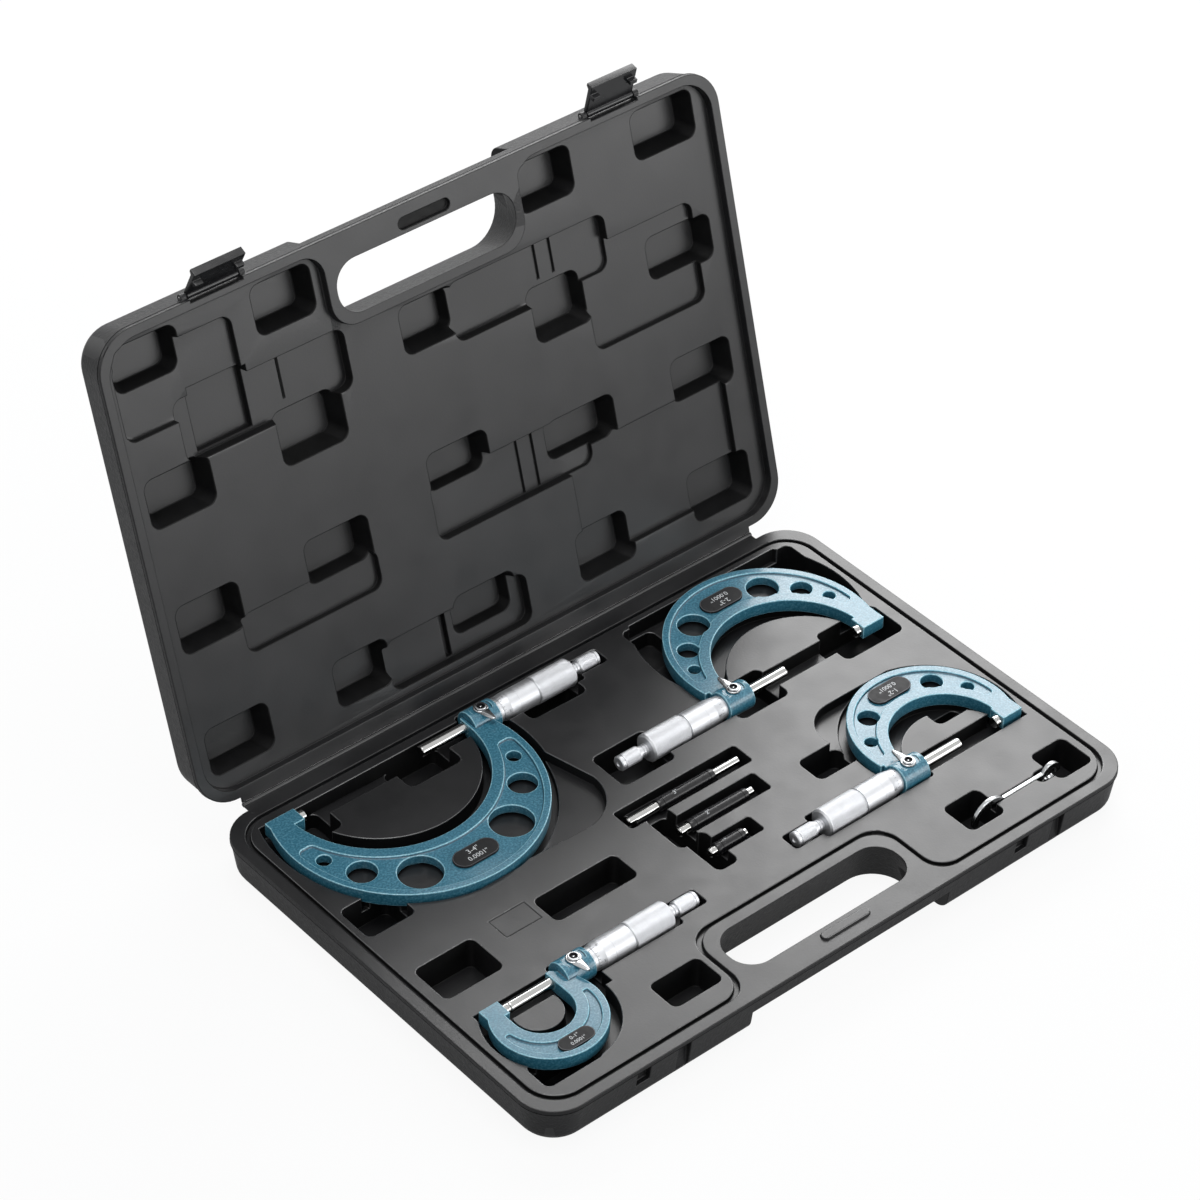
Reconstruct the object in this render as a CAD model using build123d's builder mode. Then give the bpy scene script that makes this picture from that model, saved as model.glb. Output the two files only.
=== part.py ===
import os
from math import cos, radians, sin, sqrt, tan

from build123d import *

os.makedirs("parts", exist_ok=True)

# Case, in millimetres. X runs along the crease hinge, Y towards it, Z up.
case_width = 400.0
case_depth = 267.4
case_corner = 22.0
base_height = 25.0
lid_height = 27.0
wall_draft = 7.5
outer_rounding = 8.0
rim_band = 2.6
rim_band_step = 0.4
lid_open_angle = 105.6

# Crease hinge.
crease_setback = 4.6
crease_radius = 0.9
crease_gap = 0.35
strap_left = -177.0
strap_right = 174.0
strap_thickness = 1.2
strap_root = 2.0

# Carrying handle, one half moulded in each shell. Setbacks are from the front edge.
hand_hole_width = 115.0
hand_hole_setback = 16.1
hand_hole_depth = 29.0
hand_hole_corner = 13.5
hand_hole_draft = 14.0
grip_height = 11.0
grip_relief_width = 134.0
grip_relief_setback = 33.7
bay_width = 128.8
bay_setback = 52.1
bay_corner = 15.0
bay_mouth_rounding = 13.0
locating_bar_middle = 2.1
locating_bar_length = 31.6
locating_bar_width = 5.0
locating_bar_setback = 10.2
locating_bar_height = 1.5
locating_slot_clearance = 0.7

# Rim groove in the base and sunk panel in the lid.
groove_inset = 6.8
groove_width = 2.2
groove_depth = 2.6
lid_lip = 5.4
lid_panel_depth = 4.8

# Nests.
pocket_depth = 19.0
channel_depth = 9.6
seat_clearance = 0.1
seat_margin = 2.5
side_clearance = 1.6
travel_clearance = 3.6
pocket_corner = 4.0
trough_corner = 2.0
slot_corner = 1.0
nest_top_line = 6.3
overrun = 1.0
far = 400.0

# Latches.
latch_centres = {"left": -125.5, "right": 131.0}
latch_rest_angles = {"left": 48.0, "right": 62.0}
latch_width = 31.0
latch_length = 19.0
latch_thickness = 2.8
latch_wall_gap = 0.3
latch_end_play = 0.4
latch_seat_clearance = 0.6
latch_pivot_out = 1.0
latch_pivot_height = 4.5
latch_barrel_radius = 2.1
latch_lip = 1.5
latch_lip_length = 3.0
latch_hook_reach = 2.9
latch_hook_root = 1.0
latch_hook_height = 2.5
latch_hook_width = 5.0
latch_hook_drop = 14.0
latch_hook_places = (-13.0, 12.0)
latch_lug_width = 3.4
latch_lug_depth = 3.0
latch_pin_radius = 1.0
running_fit = 0.06
press_fit = 0.01
catch_slot_width = 8.4
catch_slot_top = 3.0
catch_slot_depth = 4.6
catch_slots = ((-13.0, 9.5), (13.0, 19.0))

# Micrometers: sizes they share.
measuring_radius = 3.175
anvil_reach = 3.6
anvil_seat = 10.0
anvil_block_above = 4.0
anvil_block_below = 6.0
frame_half_thickness = 4.0
web_recess = 1.3
inner_rib = 6.5
outer_rib = 4.0
web_top_margin = 2.0
web_end_roundness = 0.38
boss_radius = 8.4
boss_length = 17.5
lock_screw_setback = 9.0
lock_flat_height = 7.6
lock_flat_radius = 6.3
lock_lever_gap = 0.1
lock_lever_thickness = 1.1
lock_lever_radius = 4.5
lock_lever_length = 12.5
lock_lever_shoulder = 3.6
lock_lever_tip = 1.5
lock_screw_head_radius = 3.2
lock_screw_head_height = 0.9
lock_screw_head_gap = 0.05
lock_screw_shank_radius = 1.4
lock_screw_depth = 3.2
lock_screw_hole_depth = 3.4
spindle_bore_lead = 15.0
sleeve_radius = 6.7
sleeve_bore_clearance = 0.1
sleeve_exposed = 3.0
sleeve_length = 34.0
nut_radius = 6.1
nut_length = 5.0
thimble_radius = 7.7
knurl_radius = 8.0
thimble_bore = 6.78
thimble_length = 49.5
thimble_plain = 24.0
thimble_cap = 4.0
ratchet_neck = 5.3
ratchet_neck_radius = 3.4
ratchet_length = 13.5
ratchet_radius = 4.3

# Micrometers: one entry each. Positions are from the anvil face, along the spindle and across it.
micrometers = [
    {
        "name": "micrometer_3_to_4",
        "anvil_face": (-157.3, 112.7),
        "heading": 1,
        "gap": 76.2,
        "bow_centre": 47.8,
        "outer_bow": (-25.7, 74.0),
        "inner_bow": (-2.4, 58.0),
        "arm_left": -22.0,
        "boss_start": 107.8,
        "holes": [(62.2, -35.8, 4.0), (52.5, -54.8, 8.0), (29.8, -73.6, 12.0)],
        "plate": (-81.0, 27.0, 12.5),
        "nest": (2.5, -20.7, 79.0),
        "nest_floor_line": -100.2,
        "island": (4.2, 3.3, 53.6),
    },
    {
        "name": "micrometer_2_to_3",
        "anvil_face": (160.2, 39.5),
        "heading": -1,
        "gap": 50.8,
        "bow_centre": 39.9,
        "outer_bow": (-20.8, 60.0),
        "inner_bow": (-3.3, 45.5),
        "arm_left": -18.6,
        "boss_start": 78.8,
        "holes": [(49.0, -29.4, 3.5), (41.2, -43.4, 6.0), (25.0, -57.4, 9.0)],
        "plate": (-63.3, 27.0, 12.5),
        "nest": (-2.2, -42.5, 65.5),
        "nest_floor_line": -81.6,
        "island": (-0.7, 7.5, 45.0),
    },
    {
        "name": "micrometer_1_to_2",
        "anvil_face": (166.5, -61.5),
        "heading": -1,
        "gap": 25.4,
        "bow_centre": 27.2,
        "outer_bow": (-17.3, 46.0),
        "inner_bow": (-5.3, 32.0),
        "arm_left": -17.3,
        "boss_start": 53.5,
        "holes": [(35.2, -27.7, 3.6), (23.0, -42.6, 6.0)],
        "plate": (-51.2, 27.0, 12.0),
        "nest": (-0.7, -18.5, 49.5),
        "nest_floor_line": -66.5,
        "island": (0.0, 6.0, 33.0),
    },
    {
        "name": "micrometer_0_to_1",
        "anvil_face": (-164.6, -61.2),
        "heading": 1,
        "gap": 0.05,
        "bow_centre": 10.0,
        "outer_bow": (-19.0, 30.0),
        "inner_bow": (-13.5, 16.8),
        "arm_left": -15.4,
        "boss_start": 32.5,
        "holes": [],
        "plate": (-39.8, 21.0, 9.0),
        "nest": (2.1, -17.8, 35.0),
        "nest_floor_line": -53.0,
        "island": (0.0, -10.5, 13.6),
    },
]

# Setting standards: length, centre, centre across, grip length.
standard_rod_radius = 2.6
standard_grip_radius = 3.6
standard_depth = 3.2
standards = [
    ("standard_3", 76.2, (7.0, 5.0), 38.4, 1.2),
    ("standard_2", 50.8, (9.9, -17.3), 39.6, 1.3),
    ("standard_1", 25.4, (-1.1, -38.9), 19.0, 1.0),
]

# Adjusting spanner, standing on its edge.
spanner_across = -106.0
spanner_thickness = 2.4
spanner_bar_left = 128.0
spanner_bar_right = 161.0
spanner_bar_top = -0.3
spanner_bar_height = 6.0
spanner_hook_centre = (120.5, -8.4)
spanner_hook_radius = 12.3
spanner_hook_width = 4.0
spanner_hook_floor = -9.9
spanner_eye_centre = (164.6, -2.9)
spanner_eye_radius = 6.6
spanner_eye_bore = 3.2
spanner_eye_mouth_left = 2.0
spanner_eye_mouth_top = -1.0
spanner_pin_place = (-4.8, -1.0)
spanner_pin_radius = 0.9
spanner_pin_reach = 1.6
spanner_slot_clearance = 0.5
spanner_slot_lap = 3.0

# Straight-sided pockets of the base: left, right, front, back.
base_pockets = [
    (-165.0, -146.0, 93.7, 119.0),
    (-102.0, -67.4, 93.7, 119.0),
    (-19.5, 18.5, 94.7, 112.0),
    (-187.0, -157.0, 20.0, 45.0),
    (66.0, 100.0, 24.5, 51.0),
    (142.0, 184.0, 24.5, 51.0),
    (-16.0, 20.0, 24.5, 52.0),
    (62.0, 84.0, 92.0, 119.0),
    (160.0, 184.0, 92.0, 119.0),
    (65.5, 94.0, -37.0, -18.5),
    (143.5, 166.0, -45.0, -33.0),
    (-184.0, -148.0, -115.0, -97.0),
    (-107.5, -53.5, -30.5, -10.5),
    (-184.5, -147.5, -38.0, -11.5),
    (-102.0, -70.0, -113.5, -93.0),
    (99.0, 123.5, -115.0, -92.5),
    (162.5, 186.5, -116.0, -92.5),
    (152.5, 170.0, -111.6, -103.0),
    (-25.0, -10.0, -30.0, -1.0),
    (-21.0, -7.0, -54.5, -26.0),
]

# Troughs of the base that are less deep: left, right, front, back.
standard_troughs = [
    (-34.5, 49.0, -2.5, 12.7),
    (-20.0, 42.5, -24.5, -9.5),
    (-16.0, 18.5, -45.5, -33.0),
]
standard_end_pockets = [
    (-34.5, -25.0, -2.5, 12.7),
    (30.5, 49.0, -2.5, 12.7),
    (26.0, 42.5, -24.5, -9.5),
    (11.0, 18.5, -45.5, -33.0),
]
standard_end_depth = 12.0

# Finger pockets of the lid: left, right, front, back.
lid_pockets = [
    (-188.4, -146.3, 90.5, 120.0),
    (-106.3, -68.4, 89.5, 119.0),
    (-25.3, 17.9, 88.4, 116.8),
    (59.0, 100.0, 88.4, 120.0),
    (141.0, 185.3, 88.4, 120.0),
    (-188.4, -147.4, 19.0, 48.4),
    (-107.4, -64.2, 17.9, 47.4),
    (54.7, 102.0, 19.0, 47.4),
    (141.0, 185.3, 19.0, 48.4),
    (-24.2, 17.9, 4.2, 31.6),
    (-189.0, -147.4, -52.6, -23.2),
    (-107.4, -64.2, -54.7, -23.2),
    (-23.2, 14.7, -80.0, -50.5),
    (59.0, 99.0, -55.8, -23.2),
    (140.0, 185.3, -53.7, -25.3),
    (-190.5, -149.5, -125.3, -96.8),
    (-106.3, -67.4, -125.3, -95.8),
    (63.2, 102.0, -125.3, -95.8),
    (142.0, 186.3, -125.3, -95.8),
]
lid_pocket_depth = 18.0
lid_pocket_draft = 13.0
lid_pocket_corner = 5.5

# Stepped panels of the lid that clear the tools: left, right, front, back.
thimble_panel_depth = 10.8
frame_panel_depth = 8.4
thimble_panels = [
    (-70.5, 24.0, 94.7, 124.2),
    (-24.0, 84.0, 21.0, 55.5),
    (10.5, 115.5, -79.0, -46.0),
    (-160.0, -56.5, -83.0, -49.5),
]
frame_panels = [
    (-150.5, -64.2, 41.0, 63.2),
    (66.3, 177.0, 43.0, 110.5),
    (96.8, 173.7, -63.2, -5.3),
    (-190.5, -119.0, -115.8, -73.7),
]
panel_corner = 6.0

front_edge = -case_depth / 2
hinge_y = case_depth / 2 + crease_setback
latch_pivot_y = front_edge - latch_pivot_out
lug_span = latch_width + 2 * (latch_lug_width + latch_end_play)
open_radians = radians(lid_open_angle)
rim_plane = Plane(origin=(0, 0, base_height), x_dir=(1, 0, 0), z_dir=(0, 0, 1))
lid_plane = Plane(
    origin=(0, hinge_y * (1 - cos(open_radians)), base_height + hinge_y * sin(open_radians)),
    x_dir=(1, 0, 0),
    z_dir=(0, sin(open_radians), cos(open_radians)),
)


def shifted(plane, x, y, z):
    """The same plane with its origin moved along its own directions."""
    return Plane(
        origin=plane.from_local_coords((x, y, z)), x_dir=plane.x_dir, z_dir=plane.z_dir
    )


def side_section(plane):
    """A plane across the X direction: sketch X is the plane's Y, sketch Y its Z."""
    return Plane(origin=plane.origin, x_dir=plane.y_dir, z_dir=plane.x_dir)


def turning_section(plane):
    """A plane for half sections: sketch X runs along the axis, sketch Y is the radius."""
    return Plane(origin=plane.origin, x_dir=plane.x_dir, z_dir=-plane.y_dir)


def turned(plane, outline):
    """Revolve a closed half section about the plane's X direction."""
    with BuildSketch(turning_section(plane)) as half_section:
        with BuildLine():
            Polyline(*outline, close=True)
        make_face()
    revolve(half_section.sketch, axis=Axis(plane.origin, plane.x_dir))


def round_bar(plane, start, length, radius, mode=Mode.ADD):
    """A cylinder along the plane's X direction, from start."""
    with BuildSketch(side_section(shifted(plane, start, 0, 0))) as disc:
        Circle(radius)
    extrude(disc.sketch, amount=length, mode=mode)


def drop_above(y):
    """Take away what a sketch has above a line."""
    with Locations((0, y + far / 2)):
        Rectangle(2 * far, far, mode=Mode.SUBTRACT)


def drop_below(y):
    """Take away what a sketch has below a line."""
    with Locations((0, y - far / 2)):
        Rectangle(2 * far, far, mode=Mode.SUBTRACT)


def cut_pocket(plane, edges, depth, corner, draft=0.0):
    """Cut a rounded pocket; depth is negative into the base and positive into the lid."""
    left, right, front, back = edges
    middle = ((left + right) / 2, (front + back) / 2)
    with BuildSketch(plane) as mouth:
        with Locations(middle):
            RectangleRounded(right - left, back - front, corner)
    if draft == 0:
        extrude(mouth.sketch, amount=depth, mode=Mode.SUBTRACT)
    else:
        shrink = 2 * abs(depth) * tan(radians(draft))
        with BuildSketch(shifted(plane, 0, 0, depth)) as floor:
            with Locations(middle):
                RectangleRounded(right - left - shrink, back - front - shrink, corner)
        loft([mouth.sketch, floor.sketch], ruled=True, mode=Mode.SUBTRACT)


def case_body(plane, height):
    """The drafted block of one half, with its plain band along the rim; height is signed."""
    side = 1 if height > 0 else -1
    with BuildSketch(plane) as rim_outline:
        RectangleRounded(case_width, case_depth, case_corner)
    extrude(rim_outline.sketch, amount=side * rim_band)
    with BuildSketch(shifted(plane, 0, 0, side * rim_band)) as wall_outline:
        RectangleRounded(
            case_width - 2 * rim_band_step,
            case_depth - 2 * rim_band_step,
            case_corner - rim_band_step,
        )
    extrude(wall_outline.sketch, amount=height - side * rim_band, taper=wall_draft)


def cut_handle(plane, height):
    """Open the hand hole through one half and thin its grip bar from outside."""
    side = 1 if height > 0 else -1
    hole_middle = front_edge + hand_hole_setback + hand_hole_depth / 2
    with BuildSketch(plane) as hand_hole:
        with Locations((0, hole_middle)):
            RectangleRounded(hand_hole_width, hand_hole_depth, hand_hole_corner)
    extrude(
        hand_hole.sketch,
        amount=height + side * overrun,
        taper=-hand_hole_draft,
        mode=Mode.SUBTRACT,
    )
    relief_depth = 2 * grip_relief_setback
    with BuildSketch(shifted(plane, 0, front_edge, side * grip_height)) as relief:
        RectangleRounded(grip_relief_width, relief_depth, hand_hole_corner)
    extrude(relief.sketch, amount=height, mode=Mode.SUBTRACT)


def draw_tray_outline(inset, mode=Mode.ADD):
    """The rim line moved inwards, passing behind the handle."""
    with BuildSketch(mode=Mode.PRIVATE) as outline:
        RectangleRounded(
            case_width - 2 * inset, case_depth - 2 * inset, case_corner - inset / 2
        )
        moved = inset - groove_inset
        with Locations((0, front_edge)):
            RectangleRounded(
                bay_width + 2 * moved, 2 * (bay_setback + moved), bay_corner, mode=Mode.SUBTRACT
            )
        mouths = [
            corner
            for corner in outline.vertices()
            if abs(corner.X) < bay_width / 2 + moved + overrun
            and corner.Y < front_edge + inset + overrun
        ]
        fillet(mouths, radius=bay_mouth_rounding)
    add(outline.sketch, mode=mode)


def draw_locating_bar(clearance):
    with Locations((locating_bar_middle, front_edge + locating_bar_setback)):
        SlotOverall(locating_bar_length + 2 * clearance, locating_bar_width + 2 * clearance)


def tool_plane(tool):
    """Origin on the anvil face, X along the spindle, frame towards negative Y."""
    x, y = tool["anvil_face"]
    return Plane(origin=(x, y, base_height), x_dir=(tool["heading"], 0, 0), z_dir=(0, 0, 1))


def tool_stations(tool):
    """Distances along the axis where the boss, thimble, neck and ratchet end."""
    boss_end = tool["boss_start"] + boss_length
    thimble_start = boss_end + sleeve_exposed
    thimble_end = thimble_start + thimble_length
    neck_end = thimble_end + ratchet_neck
    return boss_end, thimble_start, thimble_end, neck_end, neck_end + ratchet_length


def draw_bow(tool):
    """The crescent of the frame and the anvil's arm, cut off square above the axis."""
    centre = tool["bow_centre"]
    outer_y, outer_radius = tool["outer_bow"]
    inner_y, inner_radius = tool["inner_bow"]
    top = anvil_block_above
    with Locations((centre, outer_y)):
        Circle(outer_radius)
    with Locations(((tool["arm_left"] + centre) / 2, (outer_y + top) / 2)):
        Rectangle(centre - tool["arm_left"], top - outer_y)
    with Locations((centre, inner_y)):
        Circle(inner_radius, mode=Mode.SUBTRACT)
    with Locations((centre, inner_y + far / 2)):
        Rectangle(2 * inner_radius, far, mode=Mode.SUBTRACT)
    drop_above(top)
    block_length = -anvil_reach - tool["arm_left"]
    with Locations((tool["arm_left"] + block_length / 2, (top - anvil_block_below) / 2)):
        Rectangle(block_length, top + anvil_block_below)


def draw_web(tool):
    """The sunk web of the bow, inside its two raised ribs."""
    centre = tool["bow_centre"]
    outer_y, outer_radius = tool["outer_bow"]
    inner_y, inner_radius = tool["inner_bow"]
    with Locations((centre, outer_y)):
        Circle(outer_radius - outer_rib)
    with Locations((centre, inner_y)):
        Circle(inner_radius + inner_rib, mode=Mode.SUBTRACT)
    drop_above(outer_y + web_top_margin)


def web_end_rounding(tool):
    """The radius that rounds the corners of the web's two narrow ends."""
    outer_y, outer_radius = tool["outer_bow"]
    inner_y, inner_radius = tool["inner_bow"]
    end_y = outer_y + web_top_margin
    outer_reach = sqrt((outer_radius - outer_rib) ** 2 - (end_y - outer_y) ** 2)
    inner_reach = sqrt((inner_radius + inner_rib) ** 2 - (end_y - inner_y) ** 2)
    return web_end_roundness * (outer_reach - inner_reach)


def cut_frame_nest(tool):
    """Sink the bow of one frame: a seat under it and a deeper channel all round."""
    plane = tool_plane(tool)
    centre = tool["bow_centre"]
    outer_y, outer_radius = tool["outer_bow"]
    inner_y, inner_radius = tool["inner_bow"]
    shift, nest_y, nest_radius = tool["nest"]
    island_shift, island_y, island_radius = tool["island"]
    nest_left = tool["arm_left"] - side_clearance
    nest_right = tool["boss_start"] + boss_length + side_clearance
    for depth, keeps_seat in ((frame_half_thickness + seat_clearance, False), (channel_depth, True)):
        with BuildSketch(plane) as bow_nest:
            with Locations((centre + shift, nest_y)):
                Circle(nest_radius)
            with Locations((centre, outer_y)):
                Circle(outer_radius + side_clearance)
            with Locations(((nest_left + nest_right) / 2, (nest_top_line + nest_y) / 2)):
                Rectangle(nest_right - nest_left, nest_top_line - nest_y)
            drop_above(nest_top_line)
            drop_below(tool["nest_floor_line"])
            with BuildSketch(mode=Mode.PRIVATE) as island:
                with Locations((centre + island_shift, island_y)):
                    Circle(island_radius)
                drop_above(-anvil_block_below - side_clearance / 2)
            add(island.sketch, mode=Mode.SUBTRACT)
            if keeps_seat:
                with BuildSketch(mode=Mode.PRIVATE) as seat:
                    with Locations((centre, outer_y)):
                        Circle(outer_radius - seat_margin)
                    with Locations((centre, inner_y)):
                        Circle(inner_radius + seat_margin, mode=Mode.SUBTRACT)
                    drop_above(outer_y)
                add(seat.sketch, mode=Mode.SUBTRACT)
        extrude(bow_nest.sketch, amount=-depth, mode=Mode.SUBTRACT)


def cut_barrel_nest(tool):
    """Sink the spindle slot, the thimble trough and the ratchet trough of one micrometer."""
    plane = tool_plane(tool)
    _, _, thimble_end, _, ratchet_end = tool_stations(tool)
    boss_start = tool["boss_start"]
    slot_half = measuring_radius + side_clearance
    trough_half = knurl_radius + side_clearance
    ratchet_half = ratchet_radius + side_clearance
    trough_end = thimble_end + travel_clearance
    slot = (-anvil_reach, boss_start + overrun, -slot_half, slot_half)
    trough = (boss_start - side_clearance, trough_end, -trough_half, trough_half)
    ratchet = (trough_end - pocket_corner, ratchet_end + travel_clearance, -ratchet_half, ratchet_half)
    cut_pocket(plane, slot, -channel_depth, slot_corner)
    cut_pocket(plane, trough, -(boss_radius + seat_clearance), trough_corner)
    cut_pocket(plane, ratchet, -channel_depth, trough_corner)


def save(builder, name):
    builder.part.label = name
    export_step(builder.part, f"parts/{name}.step")


with BuildPart() as base_shell:
    case_body(rim_plane, -base_height)
    fillet(base_shell.faces().sort_by(Axis.Z)[0].edges(), radius=outer_rounding)
    cut_handle(rim_plane, -base_height)
    with BuildSketch(rim_plane):
        draw_tray_outline(groove_inset)
        draw_tray_outline(groove_inset + groove_width, mode=Mode.SUBTRACT)
    extrude(amount=-groove_depth, mode=Mode.SUBTRACT)
    for tool in micrometers:
        cut_frame_nest(tool)
        cut_barrel_nest(tool)
    for edges in base_pockets:
        cut_pocket(rim_plane, edges, -pocket_depth, pocket_corner)
    trough_depth = standard_depth + standard_grip_radius + seat_clearance
    for edges in standard_troughs:
        cut_pocket(rim_plane, edges, -trough_depth, trough_corner)
    for edges in standard_end_pockets:
        cut_pocket(rim_plane, edges, -standard_end_depth, trough_corner)
    slot_half = spanner_thickness / 2 + spanner_slot_clearance
    spanner_slot = (
        spanner_hook_centre[0] - spanner_slot_lap,
        spanner_eye_centre[0] + spanner_slot_lap,
        spanner_across - slot_half,
        spanner_across + slot_half,
    )
    slot_floor = spanner_bar_top - spanner_bar_height - seat_clearance
    cut_pocket(rim_plane, spanner_slot, slot_floor, slot_corner)
    with BuildSketch(rim_plane):
        draw_locating_bar(0)
    extrude(amount=locating_bar_height)
    for centre in latch_centres.values():
        for offset, height in catch_slots:
            with BuildSketch(shifted(rim_plane, centre + offset, front_edge, -catch_slot_top)):
                Rectangle(catch_slot_width, 2 * catch_slot_depth)
            extrude(amount=-height, mode=Mode.SUBTRACT)
    strap_reach = crease_setback - crease_radius / 2
    with BuildSketch(shifted(rim_plane, strap_left, case_depth / 2 - strap_root, 0)):
        Rectangle(strap_right - strap_left, strap_reach + strap_root, align=(Align.MIN, Align.MIN))
    extrude(amount=-strap_thickness)
    round_bar(shifted(rim_plane, 0, hinge_y, 0), strap_left, strap_right - strap_left, crease_radius)
save(base_shell, "base_shell")

with BuildPart() as lid_shell:
    case_body(lid_plane, lid_height)
    top_face = lid_shell.faces().sort_by(Axis(lid_plane.origin, lid_plane.z_dir))[-1]
    fillet(top_face.edges(), radius=outer_rounding)
    cut_handle(lid_plane, lid_height)
    with BuildSketch(lid_plane):
        draw_tray_outline(lid_lip)
    extrude(amount=lid_panel_depth, mode=Mode.SUBTRACT)
    for edges in thimble_panels:
        cut_pocket(lid_plane, edges, thimble_panel_depth, panel_corner)
    for edges in frame_panels:
        cut_pocket(lid_plane, edges, frame_panel_depth, panel_corner)
    for edges in lid_pockets:
        cut_pocket(lid_plane, edges, lid_pocket_depth, lid_pocket_corner, lid_pocket_draft)
    with BuildSketch(lid_plane):
        draw_locating_bar(locating_slot_clearance)
    extrude(amount=locating_bar_height + locating_slot_clearance, mode=Mode.SUBTRACT)
    for centre in latch_centres.values():
        pivot = shifted(lid_plane, centre, latch_pivot_y, latch_pivot_height)
        with BuildSketch(side_section(shifted(pivot, -lug_span / 2, 0, 0))):
            Circle(latch_barrel_radius)
            Rectangle(
                latch_lug_depth, 2 * latch_barrel_radius, align=(Align.MIN, Align.CENTER)
            )
        extrude(amount=lug_span)
        seat_width = latch_width + 2 * latch_end_play
        seat_depth = 2 * (latch_barrel_radius + latch_seat_clearance)
        with BuildSketch(shifted(pivot, 0, 0, -latch_pivot_height)):
            Rectangle(seat_width, seat_depth)
        extrude(
            amount=latch_pivot_height + latch_barrel_radius + latch_seat_clearance,
            mode=Mode.SUBTRACT,
        )
        pin_radius = latch_pin_radius + press_fit
        round_bar(pivot, -lug_span / 2 - overrun, lug_span + 2 * overrun, pin_radius, Mode.SUBTRACT)
    strap_reach = crease_setback - crease_radius - crease_gap
    with BuildSketch(shifted(lid_plane, strap_left, case_depth / 2 - strap_root, 0)):
        Rectangle(strap_right - strap_left, strap_reach + strap_root, align=(Align.MIN, Align.MIN))
    extrude(amount=strap_thickness)
save(lid_shell, "lid_shell")

for side, centre in latch_centres.items():
    swing = radians(lid_open_angle + latch_rest_angles[side])
    pivot = Plane(
        origin=lid_plane.from_local_coords((centre, latch_pivot_y, latch_pivot_height)),
        x_dir=(1, 0, 0),
        z_dir=(0, sin(swing), cos(swing)),
    )
    inner_face = latch_pivot_out - latch_wall_gap
    outer_face = inner_face - latch_thickness
    with BuildPart() as latch:
        with BuildSketch(side_section(shifted(pivot, -latch_width / 2, 0, 0))):
            with BuildLine():
                Polyline(
                    (outer_face, 0),
                    (outer_face, latch_lip_length - latch_length),
                    (outer_face - latch_lip, latch_lip_length / 2 - latch_length),
                    (outer_face - latch_lip, -latch_length),
                    (inner_face, -latch_length),
                    (inner_face, 0),
                    close=True,
                )
            make_face()
            Circle(latch_barrel_radius)
        extrude(amount=latch_width)
        with BuildSketch(shifted(pivot, 0, 0, -latch_hook_drop)):
            for offset in latch_hook_places:
                with Locations((offset, inner_face - latch_hook_root)):
                    Rectangle(
                        latch_hook_width,
                        latch_hook_reach + latch_hook_root,
                        align=(Align.CENTER, Align.MIN),
                    )
        extrude(amount=latch_hook_height)
        bore_radius = latch_pin_radius + running_fit
        bore_length = latch_width + 2 * overrun
        round_bar(pivot, -bore_length / 2, bore_length, bore_radius, Mode.SUBTRACT)
    save(latch, f"latch_{side}")
    with BuildPart() as latch_pin:
        round_bar(pivot, -lug_span / 2, lug_span, latch_pin_radius)
    save(latch_pin, f"latch_pin_{side}")

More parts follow.
